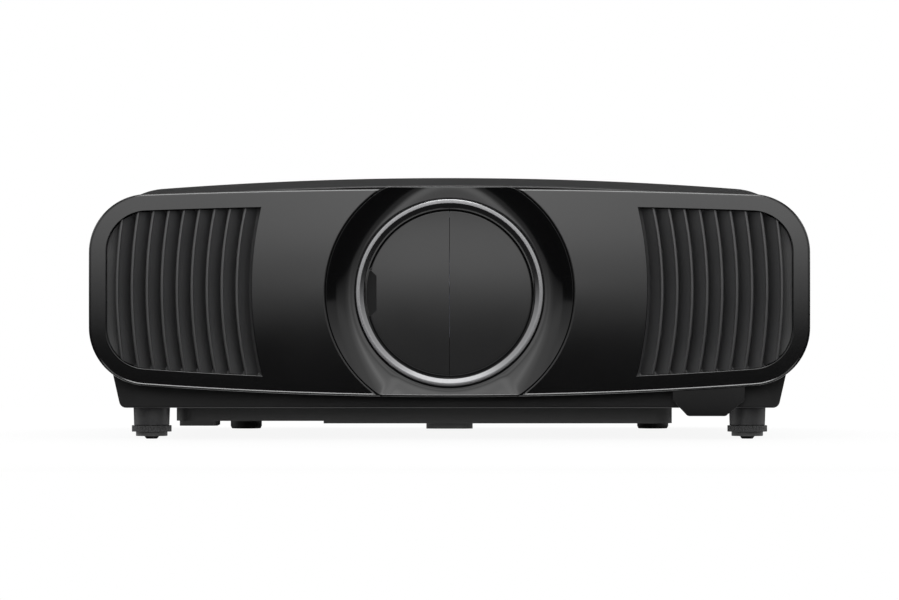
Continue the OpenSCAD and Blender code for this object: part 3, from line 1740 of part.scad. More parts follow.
module control_panel() {
  y = [keys_y - keys_w / 2, keys_y + keys_w / 2];
  z = [keys_z - keys_h / 2, keys_z + keys_h / 2];
  back = keys_face_x - keys_plate_t;
  lip_x = [case_half_w - wall - keys_lip_t, case_half_w - wall];
  color(gloss_black)
    difference() {
      union() {
        slab([back, keys_face_x], y, z);
        for (z0 = [z[0], z[1] - keys_wall])
          slab([board_x - keys_rim_depth, back + keys_wall], y, [z0, z0 + keys_wall]);
        slab(lip_x, [y[0] - keys_lip, y[0] + keys_wall], z);
        slab(lip_x, [y[1] - keys_wall, y[1] + keys_lip], z);
      }
      for (key_y = large_key_y)
        rod_x(back - over, keys_face_x + over, key_y, keys_z, key_r + key_gap);
      for (place = small_places)
        rod_x(back - over, keys_face_x + over, place[0], place[1], small_key_r + key_gap);
      for (side = [-1, 1])
        rod_x(back - over, keys_face_x + over, lamp_y, keys_z + side * lamp_rise, lamp_r + shaft_gap);
    }
  color(board_green)
    slab([board_x - board_t, board_x], y, [z[0] + keys_wall, z[1] - keys_wall]);
}

// A key: a cap through the panel, with a flange behind it
module key(y, z, r) {
  back = keys_face_x - keys_plate_t;
  color(key_grey) {
    rod_x(back - key_flange, keys_face_x + key_proud, y, z, r);
    rod_x(back - key_flange, back - shaft_gap, y, z, r + key_shoulder);
    rod_x(board_x + key_travel + key_stem_gap, back - key_flange + key_stem_gap, y, z, key_stem_r);
  }
}

module power_button() {
  key(large_key_y[2], keys_z, key_r);
}

module input_button() {
  key(large_key_y[1], keys_z, key_r);
}

module menu_button() {
  key(large_key_y[0], keys_z, key_r);
}

module enter_button() {
  key(small_places[0][0], small_places[0][1], small_key_r);
}

module up_button() {
  key(small_places[1][0], small_places[1][1], small_key_r);
}

module down_button() {
  key(small_places[2][0], small_places[2][1], small_key_r);
}

module left_button() {
  key(small_places[3][0], small_places[3][1], small_key_r);
}

module right_button() {
  key(small_places[4][0], small_places[4][1], small_key_r);
}

module status_lamps() {
  color([0.2, 0.7, 0.3])
    for (side = [-1, 1])
      rod_x(board_x, keys_face_x, lamp_y, keys_z + side * lamp_rise, lamp_r);
}

bottom_case();
top_case();
base_pan();
front_panel();
left_grille();
right_grille();
lens_surround();
lens_ring();
sensor_window();
shutter_housing();
left_shutter();
right_shutter();
shutter_pinion();
shutter_motor();
rear_panel();
port_plate();
port_board();
hdmi_sockets();
data_sockets();
control_sockets();
power_inlet();
filter_cover();
air_filter();
control_panel();
power_button();
input_button();
menu_button();
up_button();
down_button();
left_button();
right_button();
enter_button();
status_lamps();
rear_feet();
foot_sockets();
left_foot_pad();
left_foot_screw();
right_foot_pad();
right_foot_screw();
shift_frame();
vertical_carriage();
vertical_screw();
horizontal_carriage();
lens_barrel();
lens_glass();
focus_ring();
zoom_ring();
optical_engine();
prism_block();
laser_module();
phosphor_wheel();
heat_sink();
fan_frames();
left_fan_rotor();
right_fan_rotor();
rear_fan_rotor();
main_board();
power_supply();
case_screws();
mount_inserts();
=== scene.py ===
import bmesh
import bpy
import json
import math
import numpy as np
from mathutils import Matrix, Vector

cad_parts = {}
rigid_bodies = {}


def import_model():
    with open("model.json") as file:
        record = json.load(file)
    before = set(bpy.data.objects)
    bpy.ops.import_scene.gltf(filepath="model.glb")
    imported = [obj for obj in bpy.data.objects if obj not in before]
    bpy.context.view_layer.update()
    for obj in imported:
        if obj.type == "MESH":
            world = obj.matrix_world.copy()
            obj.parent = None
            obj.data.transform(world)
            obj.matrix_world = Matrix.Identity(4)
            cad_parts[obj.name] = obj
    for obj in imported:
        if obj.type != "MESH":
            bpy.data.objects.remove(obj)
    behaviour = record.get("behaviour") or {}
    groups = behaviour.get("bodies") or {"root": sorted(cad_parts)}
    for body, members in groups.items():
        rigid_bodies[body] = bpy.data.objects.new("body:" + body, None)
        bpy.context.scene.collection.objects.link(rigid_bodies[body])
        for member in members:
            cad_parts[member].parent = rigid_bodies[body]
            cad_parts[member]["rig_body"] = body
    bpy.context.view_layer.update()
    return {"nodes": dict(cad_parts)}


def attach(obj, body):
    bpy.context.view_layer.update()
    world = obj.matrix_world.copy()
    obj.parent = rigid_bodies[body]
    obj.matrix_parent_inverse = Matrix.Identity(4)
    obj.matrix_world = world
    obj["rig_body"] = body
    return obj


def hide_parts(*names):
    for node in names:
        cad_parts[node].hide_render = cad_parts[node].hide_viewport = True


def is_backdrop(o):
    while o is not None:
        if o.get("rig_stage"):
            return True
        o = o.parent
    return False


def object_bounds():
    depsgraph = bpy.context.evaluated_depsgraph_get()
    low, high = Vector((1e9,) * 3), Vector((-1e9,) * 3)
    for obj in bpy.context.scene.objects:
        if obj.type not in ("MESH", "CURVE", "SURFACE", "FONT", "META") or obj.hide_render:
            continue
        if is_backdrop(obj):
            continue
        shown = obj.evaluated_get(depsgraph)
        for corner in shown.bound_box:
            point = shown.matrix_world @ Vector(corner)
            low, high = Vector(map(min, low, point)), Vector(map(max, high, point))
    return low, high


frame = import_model()
cad_nodes = frame["nodes"]


# ---------------------------------------------------------------------------------------------
# Bottom case. The lower half of the body is one tray of charcoal ABS, moulded with a fine
# spark-eroded grain. Its sides lean in towards the foot, and it meets the top case at a shallow
# V-shaped parting line.
# ---------------------------------------------------------------------------------------------
mm = 0.001


def net(rows, ring=False, wrap=False):
    """Four-sided faces through rows of points: each face joins two neighbours of one row to the same
    two of the next row. ring closes every row on itself, and wrap joins the last row to the first."""
    rows = np.asarray(rows, float)
    count, width = rows.shape[:2]
    i, j = np.meshgrid(np.arange(count if wrap else count - 1),
                       np.arange(width if ring else width - 1), indexing="ij")
    below, beside = (i + 1) % count, (j + 1) % width
    faces = np.stack([i * width + j, i * width + beside, below * width + beside, below * width + j], -1)
    return rows.reshape(-1, 3), faces.reshape(-1, 4)


def lid(row):
    """One flat face that closes the end of a net."""
    row = np.asarray(row, float)
    return row, np.arange(len(row))[None, :]


def placed(name, mesh, material, body, stands_for, crease, wall=0.0, bevel=0.0):
    """One object from its mesh: smooth but for the edges sharper than crease degrees, with a wall grown
    inwards or its edges rounded by that many millimetres, on the body that it rides."""
    mesh.materials.clear()
    mesh.materials.append(material)
    mesh.shade_smooth()
    mesh.set_sharp_from_angle(angle=math.radians(crease))
    obj = bpy.data.objects.new(name, mesh)
    bpy.context.scene.collection.objects.link(obj)
    if wall:
        shell = obj.modifiers.new("wall", "SOLIDIFY")
        shell.thickness = wall * mm
        shell.offset = -1.0
    if bevel:
        edge = obj.modifiers.new("edge", "BEVEL")
        edge.width = bevel * mm
        edge.segments = 2
        edge.limit_method = "ANGLE"
        edge.angle_limit = math.radians(crease)
    obj.modifiers.new("flats", "WEIGHTED_NORMAL").keep_sharp = True
    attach(obj, body)
    if stands_for:
        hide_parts(*stands_for)


def piece(name, parts, body, material, slot, *stands_for, crease=38.0, wall=0.0):
    """One object from several nets in millimetres: they are joined, doubles are merged, faces without
    area are taken out, and the others are turned outwards."""
    points, faces, start = [], [], 0
    for part_points, part_faces in parts:
        points.append(part_points)
        faces += (np.asarray(part_faces) + start).tolist()
        start += len(part_points)
    mesh = bpy.data.meshes.new(name)
    mesh.from_pydata((np.concatenate(points) * mm).tolist(), [], faces)
    work = bmesh.new()
    work.from_mesh(mesh)
    bmesh.ops.remove_doubles(work, verts=work.verts, dist=0.002 * mm)
    empty = [face for face in work.faces if face.calc_area() < 1e-6 * mm * mm]
    bmesh.ops.delete(work, geom=empty, context="FACES")
    bmesh.ops.dissolve_degenerate(work, edges=work.edges, dist=0.0001 * mm)
    bmesh.ops.recalc_face_normals(work, faces=work.faces)
    work.to_mesh(mesh)
    work.free()
    placed(name, mesh, material, body, stands_for, crease, wall=wall)


def add(tree, kind, inputs, operation=None):
    """A new node. Each input, by its name or number, is linked where an output is given for it, and is
    set to the value otherwise."""
    node = tree.nodes.new(kind)
    if operation:
        node.operation = operation
    for key, value in inputs.items():
        if isinstance(value, bpy.types.NodeSocket):
            tree.links.new(value, node.inputs[key])
        else:
            node.inputs[key].default_value = value
    return node


def finish(name, colour, rough, grain=0.0, grain_size=1.0, cloud=0.04, rough_drift=0.02, metal=0.0,
           specular=0.5, coat=0.0):
    """A finish worked out from Object coordinates: a broad, slow noise shifts the colour by the share
    cloud and the roughness by rough_drift, and a fine noise of grain_size millimetres raises grain
    millimetres."""
    material = bpy.data.materials.new(name)
    material.use_nodes = True
    tree = material.node_tree
    shader = tree.nodes["Principled BSDF"]
    place = tree.nodes.new("ShaderNodeTexCoord").outputs["Object"]
    broad = add(tree, "ShaderNodeTexNoise", {"Scale": 22.0, "Detail": 4.0, "Vector": place})
    noise_low, noise_high = 0.3, 0.7
    shade = add(tree, "ShaderNodeValToRGB", {"Fac": broad.outputs["Fac"]})
    darker, lighter = shade.color_ramp.elements
    darker.position, lighter.position = noise_low, noise_high
    darker.color = (*[c * (1 - cloud) for c in colour], 1)
    lighter.color = (*[c * (1 + cloud) for c in colour], 1)
    drift = add(tree, "ShaderNodeMapRange", {
        "From Min": noise_low, "From Max": noise_high, "To Min": rough - rough_drift,
        "To Max": rough + rough_drift, "Value": broad.outputs["Fac"]})
    tree.links.new(shade.outputs["Color"], shader.inputs["Base Color"])
    tree.links.new(drift.outputs["Result"], shader.inputs["Roughness"])
    if grain:
        fine = add(tree, "ShaderNodeTexNoise", {"Scale": 1 / (grain_size * mm), "Detail": 2.0, "Vector": place})
        raised = add(tree, "ShaderNodeBump", {"Strength": 1.0, "Distance": grain * mm,
                                              "Height": fine.outputs["Fac"]})
        tree.links.new(raised.outputs["Normal"], shader.inputs["Normal"])
    for socket, value in (("Metallic", metal), ("Specular IOR Level", specular), ("Coat Weight", coat),
                          ("Coat Roughness", 0.05)):
        shader.inputs[socket].default_value = value
    return material


case_front, case_rear = -196.5, 223.5
case_half, case_corner = 256.0, 36.0
case_wall, case_floor = 3.0, 22.8
parting, groove = 100.0, 0.5
side_draft, upright_side = 0.08, 41.0
foot_half, foot_round = 238.5, 5.0
rear_open_half = 205.0
rear_open_low, rear_open_high = 40.0, 160.0
case_grey = finish("case_grey", (0.012, 0.012, 0.0124), 0.45, grain=0.005, grain_size=0.9, specular=0.3)


def into_corner(x):
    """How far a place across lies into the rear corner's quarter circle."""
    return np.clip(np.abs(x) - case_half + case_corner, 0, case_corner)


def case_end(x):
    """Where the case ends at the rear: straight across, and a quarter circle over each corner."""
    return case_rear - case_corner + np.sqrt(case_corner ** 2 - into_corner(x) ** 2)


def rounding(distance, radius):
    """How far a rounded edge falls away: a quarter circle of that radius, read by the distance from
    the edge, and nothing beyond the radius."""
    radius = np.maximum(radius, 1e-6)
    near = np.clip(radius - distance, 0, radius)
    return radius - np.sqrt(radius ** 2 - near ** 2)


def case_sheet(section, bow, up, front_round, rear_round, y_rows):
    """The outside of half the body. The section, points from the right parting line over or under to
    the left one, is carried from the front to where the plan ends it, a hair further in as a side
    rises, by its draft. bow gives the drop of a station at a depth, and the front and rear edges are
    rounded as far as the section lies flat there. Then the rear wall goes to its opening or to the
    parting line, where it turns in for the groove."""
    x, z = section[:, 0], section[:, 1]
    along = np.gradient(section, axis=0)
    off_parting = np.abs(z - parting)
    flat = (np.abs(along[:, 0]) / np.hypot(along[:, 0], along[:, 1])) ** 2 * (off_parting > 2)
    end = case_end(np.abs(x) - side_draft * np.clip(off_parting / upright_side, 0, 1))
    end[[0, -1]] = end[[1, -2]]
    before_end = np.array([14, 9, 6, 4, 2.8, 1.8, 1.0, 0.45, 0.1, 0])
    y = np.concatenate([np.repeat(np.array(y_rows)[:, None], len(x), 1), end[None, :] - before_end[:, None]])
    to_rear = case_corner - np.hypot(into_corner(x)[None, :], np.maximum(y - case_rear + case_corner, 0))
    fall = rounding(np.maximum(to_rear, 0), rear_round * flat[None, :])
    fall = fall + rounding(y - case_front, front_round * flat[None, :])
    height = z[None, :] - bow(z[None, :], y) - up * fall
    skin = np.stack([np.broadcast_to(x, y.shape), y, height], -1)
    edge = skin[-1]
    base = np.where(np.abs(x) < rear_open_half, rear_open_high if up > 0 else rear_open_low, parting)
    share = np.array([0, 0.03, 0.1, 0.3, 0.5, 0.7, 0.9, 1])[:, None]
    stop = base + up * np.minimum(groove, np.abs(edge[:, 2] - base) / 2)
    wall_z = np.concatenate([edge[None, :, 2] * (1 - share) + stop * share, base[None, :]])
    sideways = np.sign(x) * into_corner(x) / case_corner
    inward = np.zeros(wall_z.shape)
    inward[-1, 1:-1] = groove
    rear = np.stack([x - inward * sideways, edge[:, 1] - inward * np.sqrt(1 - sideways ** 2), wall_z], -1)
    return skin, rear


lean = np.array([case_half - foot_half, parting - case_floor])
lean = lean / np.hypot(*lean)
foot_x = foot_half + lean[0] * (foot_round - lean[0] * foot_round) / lean[1] - lean[1] * foot_round
foot_turn = np.radians(np.linspace(-math.degrees(math.asin(lean[0])), -90, 9))
side_z = np.array([99.5, 96, 85, 70, 55, 40, 30])
floor_x = np.array([228, 220, 212, 205, 204.9, 190, 165, 140, 100, 60, 20])
right_foot = np.concatenate([
    [[case_half - groove, parting]],
    np.stack([case_half - (parting - side_z) * lean[0] / lean[1], side_z], -1),
    np.stack([foot_x + foot_round * np.cos(foot_turn),
              case_floor + foot_round + foot_round * np.sin(foot_turn)], -1),
    np.stack([floor_x, 0 * floor_x + case_floor], -1)])
foot_section = np.concatenate([right_foot, right_foot[::-1] * [-1, 1]])
front_rows = [-196.5, -196.4, -196.1, -195.6, -195, -194.4, -192]
low_skin, low_rear = case_sheet(foot_section, lambda z, y: 0 * y, -1, 1.1, 2.5,
                                front_rows + [-180, -140, -100, -50, 0, 50, 100, 140, 172])
front_edge = low_skin[0]
front_in = front_edge.copy()
front_in[:, 0] = np.clip(front_in[:, 0], -229, 229)
front_rise = np.interp(np.abs(front_edge[:, 0]), [130, 145], [12, 20])
front_in[:, 2] = np.maximum(front_in[:, 2], case_floor + front_rise)
piece("bottom_case_tray", [net(low_skin), net(low_rear), net(np.stack([front_edge, front_in]))],
      "root", case_grey, "case", "bottom_case", wall=case_wall)


# ---------------------------------------------------------------------------------------------
# Top case. The lid is moulded in the same grained ABS: its crown rises to the middle, rolls over
# wide side corners into upright sides, and carries the key opening in its right side. It is
# screwed down from below through the posts of the bottom case.
# ---------------------------------------------------------------------------------------------
crown_centre, crown_r = -2652.0, 2845.0
shoulder_x, shoulder_z, shoulder_r = 212.0, 140.966, 44.0
bow_centre = -1975.0
key_open_y, key_open_z = (61.2, 165.8), (102.7, 131.3)

meeting = math.atan2(shoulder_z - crown_centre, shoulder_x)
shoulder_turn = np.linspace(0, meeting, 22)
crown_x = np.array([205, 204.9, 195, 184, 172, 160, 148, 136, 124, 112, 100, 88, 76, 64, 52, 40, 28, 16, 5])
right_top = np.concatenate([
    [[case_half - groove, parting], [case_half, parting + groove]],
    [[case_half, key_open_z[0]], [case_half, 112], [case_half, 122], [case_half, key_open_z[1]]],
    np.stack([shoulder_x + shoulder_r * np.cos(shoulder_turn),
              shoulder_z + shoulder_r * np.sin(shoulder_turn)], -1),
    np.stack([crown_x, crown_centre + np.sqrt(crown_r ** 2 - crown_x ** 2)], -1)])
top_section = np.concatenate([right_top, right_top[::-1] * [-1, 1]])


def crown_bow(z, y):
    """How far the lid drops towards its front and rear: a circle about the bow's centre, let in
    above the key opening so that the sides below stay upright."""
    reach_up = z - bow_centre
    let_in = np.clip((z - key_open_z[1]) / (shoulder_z - key_open_z[1]), 0, 1)
    return let_in * (reach_up - np.sqrt(reach_up ** 2 - y ** 2))


top_rows = front_rows + [-186, -176, -162, -146, -128, -110, -90, -70, -50, -30, -10, 10, 30, 46,
                         key_open_y[0], 80, 100, 120, 143, key_open_y[1], 172]
top_skin, top_rear = case_sheet(top_section, crown_bow, 1, 1.4, 3.5, top_rows)
skin_points, skin_faces = net(top_skin)
centre = skin_points[skin_faces].mean(1)
key_hole = ((centre[:, 0] > case_half - 1) & (centre[:, 1] > key_open_y[0]) & (centre[:, 1] < key_open_y[1])
            & (centre[:, 2] > key_open_z[0]) & (centre[:, 2] < key_open_z[1]))
piece("top_case_lid", [(skin_points, skin_faces[~key_hole]), net(top_rear)],
      "root", case_grey, "case", "top_case", wall=case_wall)


# ---------------------------------------------------------------------------------------------
# Front panel. The fascia is one charcoal moulding with a satin painted face, gently bulged from
# top to bottom. A round cut for the lens splits its face in two, and each half has a window for
# a grille. It clips on from the front by its rim.
# ---------------------------------------------------------------------------------------------
front_y = -223.5
lens_z = 106.0
face_r = 471.0
fascia_half, fascia_corner = 260.0, 42.0
upper_z, lower_z = 135.494, 81.077
top_centre, top_r = -5794.5, 5976.0
foot_centre, foot_r = 3056.1, 3025.0
rim_depth, half_depth = 27.0, 13.7
hole_r = 89.4
window_inset = 12.3
window_x, window_z, window_r = -119.0, 109.0, 261.8
middle_x = fascia_half - fascia_corner
low_turn = math.atan2(lower_z - foot_centre, middle_x)
high_turn = math.atan2(upper_z - top_centre, middle_x)


def face_y(z, inset=0.0):
    """The bulged face: a circle of the face radius about a centre behind the lens height."""
    return front_y + face_r - np.sqrt((face_r - inset) ** 2 - (z - lens_z) ** 2)


def crossing(x0, z0, r0, x1, z1, r1):
    """The right-hand crossing of two circles, by the common chord."""
    dx, dz = x1 - x0, z1 - z0
    apart = math.hypot(dx, dz)
    along = (r0 ** 2 - r1 ** 2 + apart ** 2) / (2 * apart)
    half = math.sqrt(r0 ** 2 - along ** 2)
    options = [(x0 + (along * dx + s * half * dz) / apart, z0 + (along * dz - s * half * dx) / apart)
               for s in (-1, 1)]
    return max(options)


def bow(centre, radius, sign, x):
    """Heights on a wide arc above or below its centre."""
    return centre + sign * np.sqrt(radius ** 2 - x ** 2)


def right_side(inset, lower_x, upper_x, side_z):
    """The fascia's outline at the right, moved in by inset: the lower arc at the places lower_x, the
    corner, the side at the heights side_z, the upper corner and the upper arc at upper_x."""
    corner = fascia_corner - inset
    low_corner = np.linspace(low_turn, 0, 25)[:-1]
    high_corner = np.linspace(0, high_turn, 25)[:-1]
    return np.concatenate([
        np.stack([lower_x, bow(foot_centre, foot_r - inset, -1, lower_x)], -1),
        np.stack([middle_x + corner * np.cos(low_corner), lower_z + corner * np.sin(low_corner)], -1),
        np.stack([fascia_half - inset + 0 * side_z, side_z], -1),
        np.stack([middle_x + corner * np.cos(high_corner), upper_z + corner * np.sin(high_corner)], -1),
        np.stack([upper_x, bow(top_centre, top_r - inset, 1, upper_x)], -1)])


def corner_ends(inset):
    """Where the lower and the upper corner meet their arcs."""
    corner = fascia_corner - inset
    return middle_x + corner * math.cos(low_turn), middle_x + corner * math.cos(high_turn)


def half_loop(inset, eye_x, eye_z, eye_r):
    """The right half of the fascia's outline, moved in by inset and cut off by a circle on the lens
    side, which the loop goes down at its end. Each stretch has a fixed count of points."""
    low = crossing(eye_x, eye_z, eye_r, 0, foot_centre, foot_r - inset)
    high = crossing(eye_x, eye_z, eye_r, 0, top_centre, top_r - inset)
    low_end, high_end = corner_ends(inset)
    ease = 0.5 - 0.5 * np.cos(np.linspace(0, np.pi, 41)[:-1])
    eye = np.linspace(math.atan2(high[1] - eye_z, high[0] - eye_x),
                      math.atan2(low[1] - eye_z, low[0] - eye_x), 97)[:-1]
    return np.concatenate([
        right_side(inset, low[0] + (low_end - low[0]) * ease, high_end + (high[0] - high_end) * ease,
                   np.linspace(lower_z, upper_z, 13)[:-1]),
        np.stack([eye_x + eye_r * np.cos(eye), eye_z + eye_r * np.sin(eye)], -1)])


def outer_loop(inset):
    """One half of the face: the outline on three sides and the lens hole on the fourth."""
    return half_loop(inset, 0, lens_z, hole_r + inset)


def window_loop(inset):
    """The grille's window, moved in by inset on all sides."""
    return half_loop(window_inset + inset, window_x, window_z, window_r + inset)


def standing(loop, side, depth=None, behind=0.0):
    """A row of points on a loop, on the bulged face plus behind, or at one depth."""
    y = face_y(loop[:, 1]) + behind if depth is None else np.full(len(loop), front_y + depth)
    return np.stack([side * loop[:, 0], y, loop[:, 1]], -1)


fascia_satin = finish("fascia_satin", (0.0045, 0.0045, 0.0047), 0.21, grain=0.0028, grain_size=1.3, cloud=0.08,
                      rough_drift=0.015)
edge_r, lip_r = 1.8, 0.5
bead, bead_top, bead_fade = 1.1, 62.0, 14.0
before_eye = 90
skin_t, skirt_t = 3.4, 1.8
skirt_from, skirt_to = 9.0, 14.8
ease_in = (0.5 - 0.5 * np.cos(np.linspace(0, np.pi, 27)))[:, None]
fascia_parts = []
for side in (-1, 1):
    rows = [standing(window_loop(0), side, skirt_to), standing(window_loop(0), side, skirt_from)]
    for turn in np.radians([0, 30, 60, 90]):
        rows.append(standing(window_loop(-lip_r * (1 - math.cos(turn))), side,
                             behind=lip_r * (1 - math.sin(turn))))
    inner, outer = window_loop(-lip_r), outer_loop(edge_r)
    rows += [standing(inner * (1 - s) + outer * s, side) for s in ease_in[1:]]
    for turn in np.radians([15, 30, 45, 60, 75, 90]):
        loop = outer_loop(edge_r * (1 - math.sin(turn)))
        on_lower_edge = np.clip((bead_top - loop[:, 1]) / bead_fade, 0, 1) * (np.arange(len(loop)) < before_eye)
        bead_turn = 2 * turn if turn < math.pi / 4 else math.pi / 4 + turn
        raised = bead * on_lower_edge * math.sin(bead_turn)
        rows.append(standing(loop, side, behind=edge_r * (1 - math.cos(turn)) - raised))
    rows += [standing(outer_loop(0), side, half_depth), standing(outer_loop(case_wall), side, half_depth)]
    behind_inner, behind_outer = window_loop(-skirt_t), outer_loop(case_wall)
    rows += [standing(behind_outer * (1 - s) + behind_inner * s, side, behind=skin_t) for s in (0, 0.3, 0.6, 1)]
    rows.append(standing(behind_inner, side, skirt_to))
    fascia_parts.append(net(rows, ring=True, wrap=True))


def full_loop(inset):
    """The whole outline, from the right half without its lens side and the same mirrored."""
    low_end, high_end = corner_ends(inset)
    right = right_side(inset, np.linspace(0, low_end, 40)[:-1], np.linspace(high_end, 0, 40), np.array([]))
    return np.concatenate([right, right[-2:0:-1] * [-1, 1]])


flange, flange_from = 11.0, 139.9
rim_back = rim_depth - 3
rim = [(0.0, half_depth), (0.0, rim_depth - 0.6), (0.18, rim_depth - 0.18), (0.6, rim_depth),
       (flange, rim_depth), (flange, rim_back), (case_wall, rim_back), (case_wall, half_depth)]
rim_rows = []
for inset, depth in rim:
    loop = full_loop(inset)
    if inset == flange:
        loop = np.where(np.abs(loop[:, :1]) > flange_from, loop, full_loop(case_wall + 0.4))
    rim_rows.append(standing(loop, 1, depth))
fascia_parts.append(net(rim_rows, ring=True, wrap=True))
under_half, under_r = 49.0, 0.95
under_x = np.linspace(-under_half, under_half, 61)[:, None]
under_z = bow(foot_centre, foot_r, -1, under_x)
around = np.linspace(0, 2 * np.pi, 25)[:-1][None, :]
under_rows = np.stack([under_x + 0 * around, face_y(under_z + 1) + 0.6 - under_r * np.cos(around),
                       under_z + under_r + under_r * np.sin(around)], -1)
fascia_parts += [net(under_rows, ring=True), lid(under_rows[0]), lid(under_rows[-1])]
piece("front_panel_fascia", fascia_parts, "root", fascia_satin, "fascia", "front_panel", crease=50)


# ---------------------------------------------------------------------------------------------
# Grilles. Each window of the fascia holds a separate moulding of nine curved louvres in a plain
# grey plastic, tied by a frame and two ribs at the back. Air goes round the lens side of each
# louvre, and the slant hides the fans.
# ---------------------------------------------------------------------------------------------
louvre_count, louvre_pitch, louvre_gap = 9, 10.8, 9.5
louvre_t, louvre_lean = 2.2, 8.3
louvre_back, louvre_set = 14.0, 2.5
grille_depth0 = 11.0
rib_near, rib_far = 13.6, 15.6
rib_z = (76.0, 136.0)
window_gap = 0.35
rim_narrow_in, rim_wide_in = 2.4, 7.2
grille_grey = finish("grille_grey", (0.039, 0.039, 0.04), 0.42, grain=0.004, grain_size=0.8, cloud=0.08)


def depth_inside(x, z):
    """How far a point lies inside the fascia's outline, by its corner where it is in one, and by the
    nearest of its upper arc, lower arc and side elsewhere."""
    x = np.abs(x)
    in_high = (x > middle_x) & (z > upper_z)
    in_low = (x > middle_x) & (z < lower_z)
    plain = np.minimum(np.minimum(top_r - np.hypot(x, z - top_centre), foot_r - np.hypot(x, z - foot_centre)),
                       fascia_half - x)
    by_corner = fascia_corner - np.hypot(x - middle_x, np.where(in_high, z - upper_z, z - lower_z))
    return np.where(in_high | in_low, by_corner, plain)


def louvre_end(radius, up):
    """The angle at which an arc about the window's centre leaves the window, by halving."""
    near, far = np.zeros_like(radius), np.full_like(radius, up * 0.5)
    for _ in range(34):
        middle = (near + far) / 2
        inside = depth_inside(window_x + radius * np.cos(middle),
                              window_z + radius * np.sin(middle)) > window_inset + window_gap
        near, far = np.where(inside, middle, near), np.where(inside, far, middle)
    return near


front_shape = np.array([[0.0, 0.7], [0.16, 0.25], [0.55, 0.0], [1.1, -0.05], [1.65, 0.0], [2.04, 0.25],
                        [2.2, 0.7]])
back_across = np.array([louvre_t, louvre_t - louvre_lean, -louvre_lean, 0.0])
back_depth = np.array([7.5, louvre_back, louvre_back, 7.5])
in_front = np.arange(len(front_shape) + len(back_across)) < len(front_shape)
across = np.concatenate([front_shape[:, 0], back_across])
behind_face = louvre_set + np.concatenate([front_shape[:, 1], 0 * back_depth])
depth = front_y + np.concatenate([0 * front_shape[:, 1], back_depth])
share = np.linspace(0, 1, 57)[:, None]
for side, word in ((-1, "left"), (1, "right")):
    parts = []
    for number in range(louvre_count):
        radius = window_r + louvre_gap + louvre_pitch * number + across
        low, high = louvre_end(radius, -1.0), louvre_end(radius, 1.0)
        turn = low + (high - low) * share
        x = window_x + radius * np.cos(turn)
        z = window_z + radius * np.sin(turn)
        y = np.where(in_front, face_y(z) + behind_face, np.maximum(depth, face_y(z) + louvre_set + 0.75))
        rows = np.stack([side * x, y, z], -1)
        parts += [net(rows, ring=True), lid(rows[0]), lid(rows[-1])]
    rim_out, rim_narrow, rim_wide = (window_loop(window_gap), window_loop(rim_narrow_in),
                                     window_loop(rim_wide_in))
    widen = np.clip((rim_narrow[:, :1] - 228) / 14, 0, 1)
    rim_in = rim_narrow + (rim_wide - rim_narrow) * widen * widen * (3 - 2 * widen)
    frame_rows = [standing(rim_out, side, louvre_back), standing(rim_out, side, grille_depth0 + 1.5),
                  standing(rim_in, side, grille_depth0 + 2.5), standing(rim_in, side, louvre_back)]
    parts.append(net(frame_rows, ring=True, wrap=True))
    for height in rib_z:
        near_x = window_x + math.sqrt((window_r + 1) ** 2 - (height - window_z) ** 2)
        x = np.linspace(near_x, fascia_half - window_inset - 1.5, 12)[:, None]
        rib_y, rib_up = np.array([rib_near, rib_far, rib_far, rib_near]), np.array([-1, -1, 1, 1])
        rows = np.stack([side * (x + 0 * rib_y), front_y + rib_y + 0 * x, height + rib_up + 0 * x], -1)
        parts += [net(rows, ring=True), lid(rows[0]), lid(rows[-1])]
    piece(word + "_grille_louvres", parts, "root", grille_grey, "grille", word + "_grille", crease=40)


# ---------------------------------------------------------------------------------------------
# Lens surround. A bowl of high-gloss black plastic fills the round cut in the fascia, with its
# rim flush with the bulged face and its top and foot trimmed level with the fascia's edges. A seat
# at its middle takes the metal ring, and its flange is screwed to the shutter housing.
# ---------------------------------------------------------------------------------------------
bowl_r, seat_r = 89.1, 68.5
bowl_deep, bowl_power = 11.5, 1.8
rim_set, rim_fillet = 0.35, 0.3
bowl_rise, bowl_drop = 76.6, 74.1
surround_back, flange_back = 13.4, 20.5
flange_r, ledge_r, seat_depth = 71.6, 62.3, 18.5
gloss_black = finish("gloss_black", (0.0018, 0.0018, 0.002), 0.1, rough_drift=0.015, specular=0.55)


def soft_least(a, b, sharp):
    """The smaller of two values, with the change from one to the other rounded: the wider the less
    sharp it is."""
    return -np.logaddexp(-sharp * a, -sharp * b) / sharp


def bowl_rim(turn):
    """The bowl's outline by angle: its circle, trimmed level above and below with small corners."""
    level = np.where(np.sin(turn) > 0, bowl_rise, bowl_drop) / np.maximum(np.abs(np.sin(turn)), 1e-6)
    return soft_least(bowl_r, level, 1.4)


turn = np.linspace(0, 2 * np.pi, 361)[:-1]
outline = bowl_rim(turn)
upper = np.sin(turn) > 0
full_rim = bowl_deep - rim_set - (face_y(lens_z + bowl_r * np.sin(turn)) - front_y)
rim_share = (outline - seat_r) / (bowl_r - seat_r)
foot_rim = (bowl_deep - rim_set - (face_y(lens_z + outline * np.sin(turn)) - front_y)) / rim_share ** bowl_power
steep_end = np.clip((np.abs(np.sin(turn)) - 0.5) / 0.38, 0, 1)
most_rise = 13 - 5.7 * steep_end ** 2 * (3 - 2 * steep_end)
rim_rise = np.where(upper, full_rim, soft_least(foot_rim, most_rise, 3))
growth = 0.3 + 0.35 * np.clip((np.sin(turn) - 0.8) / 0.2, 0, 1) ** 2
rim_power = np.where(upper, bowl_power * ((bowl_deep - rim_set) / full_rim) ** growth, bowl_power)


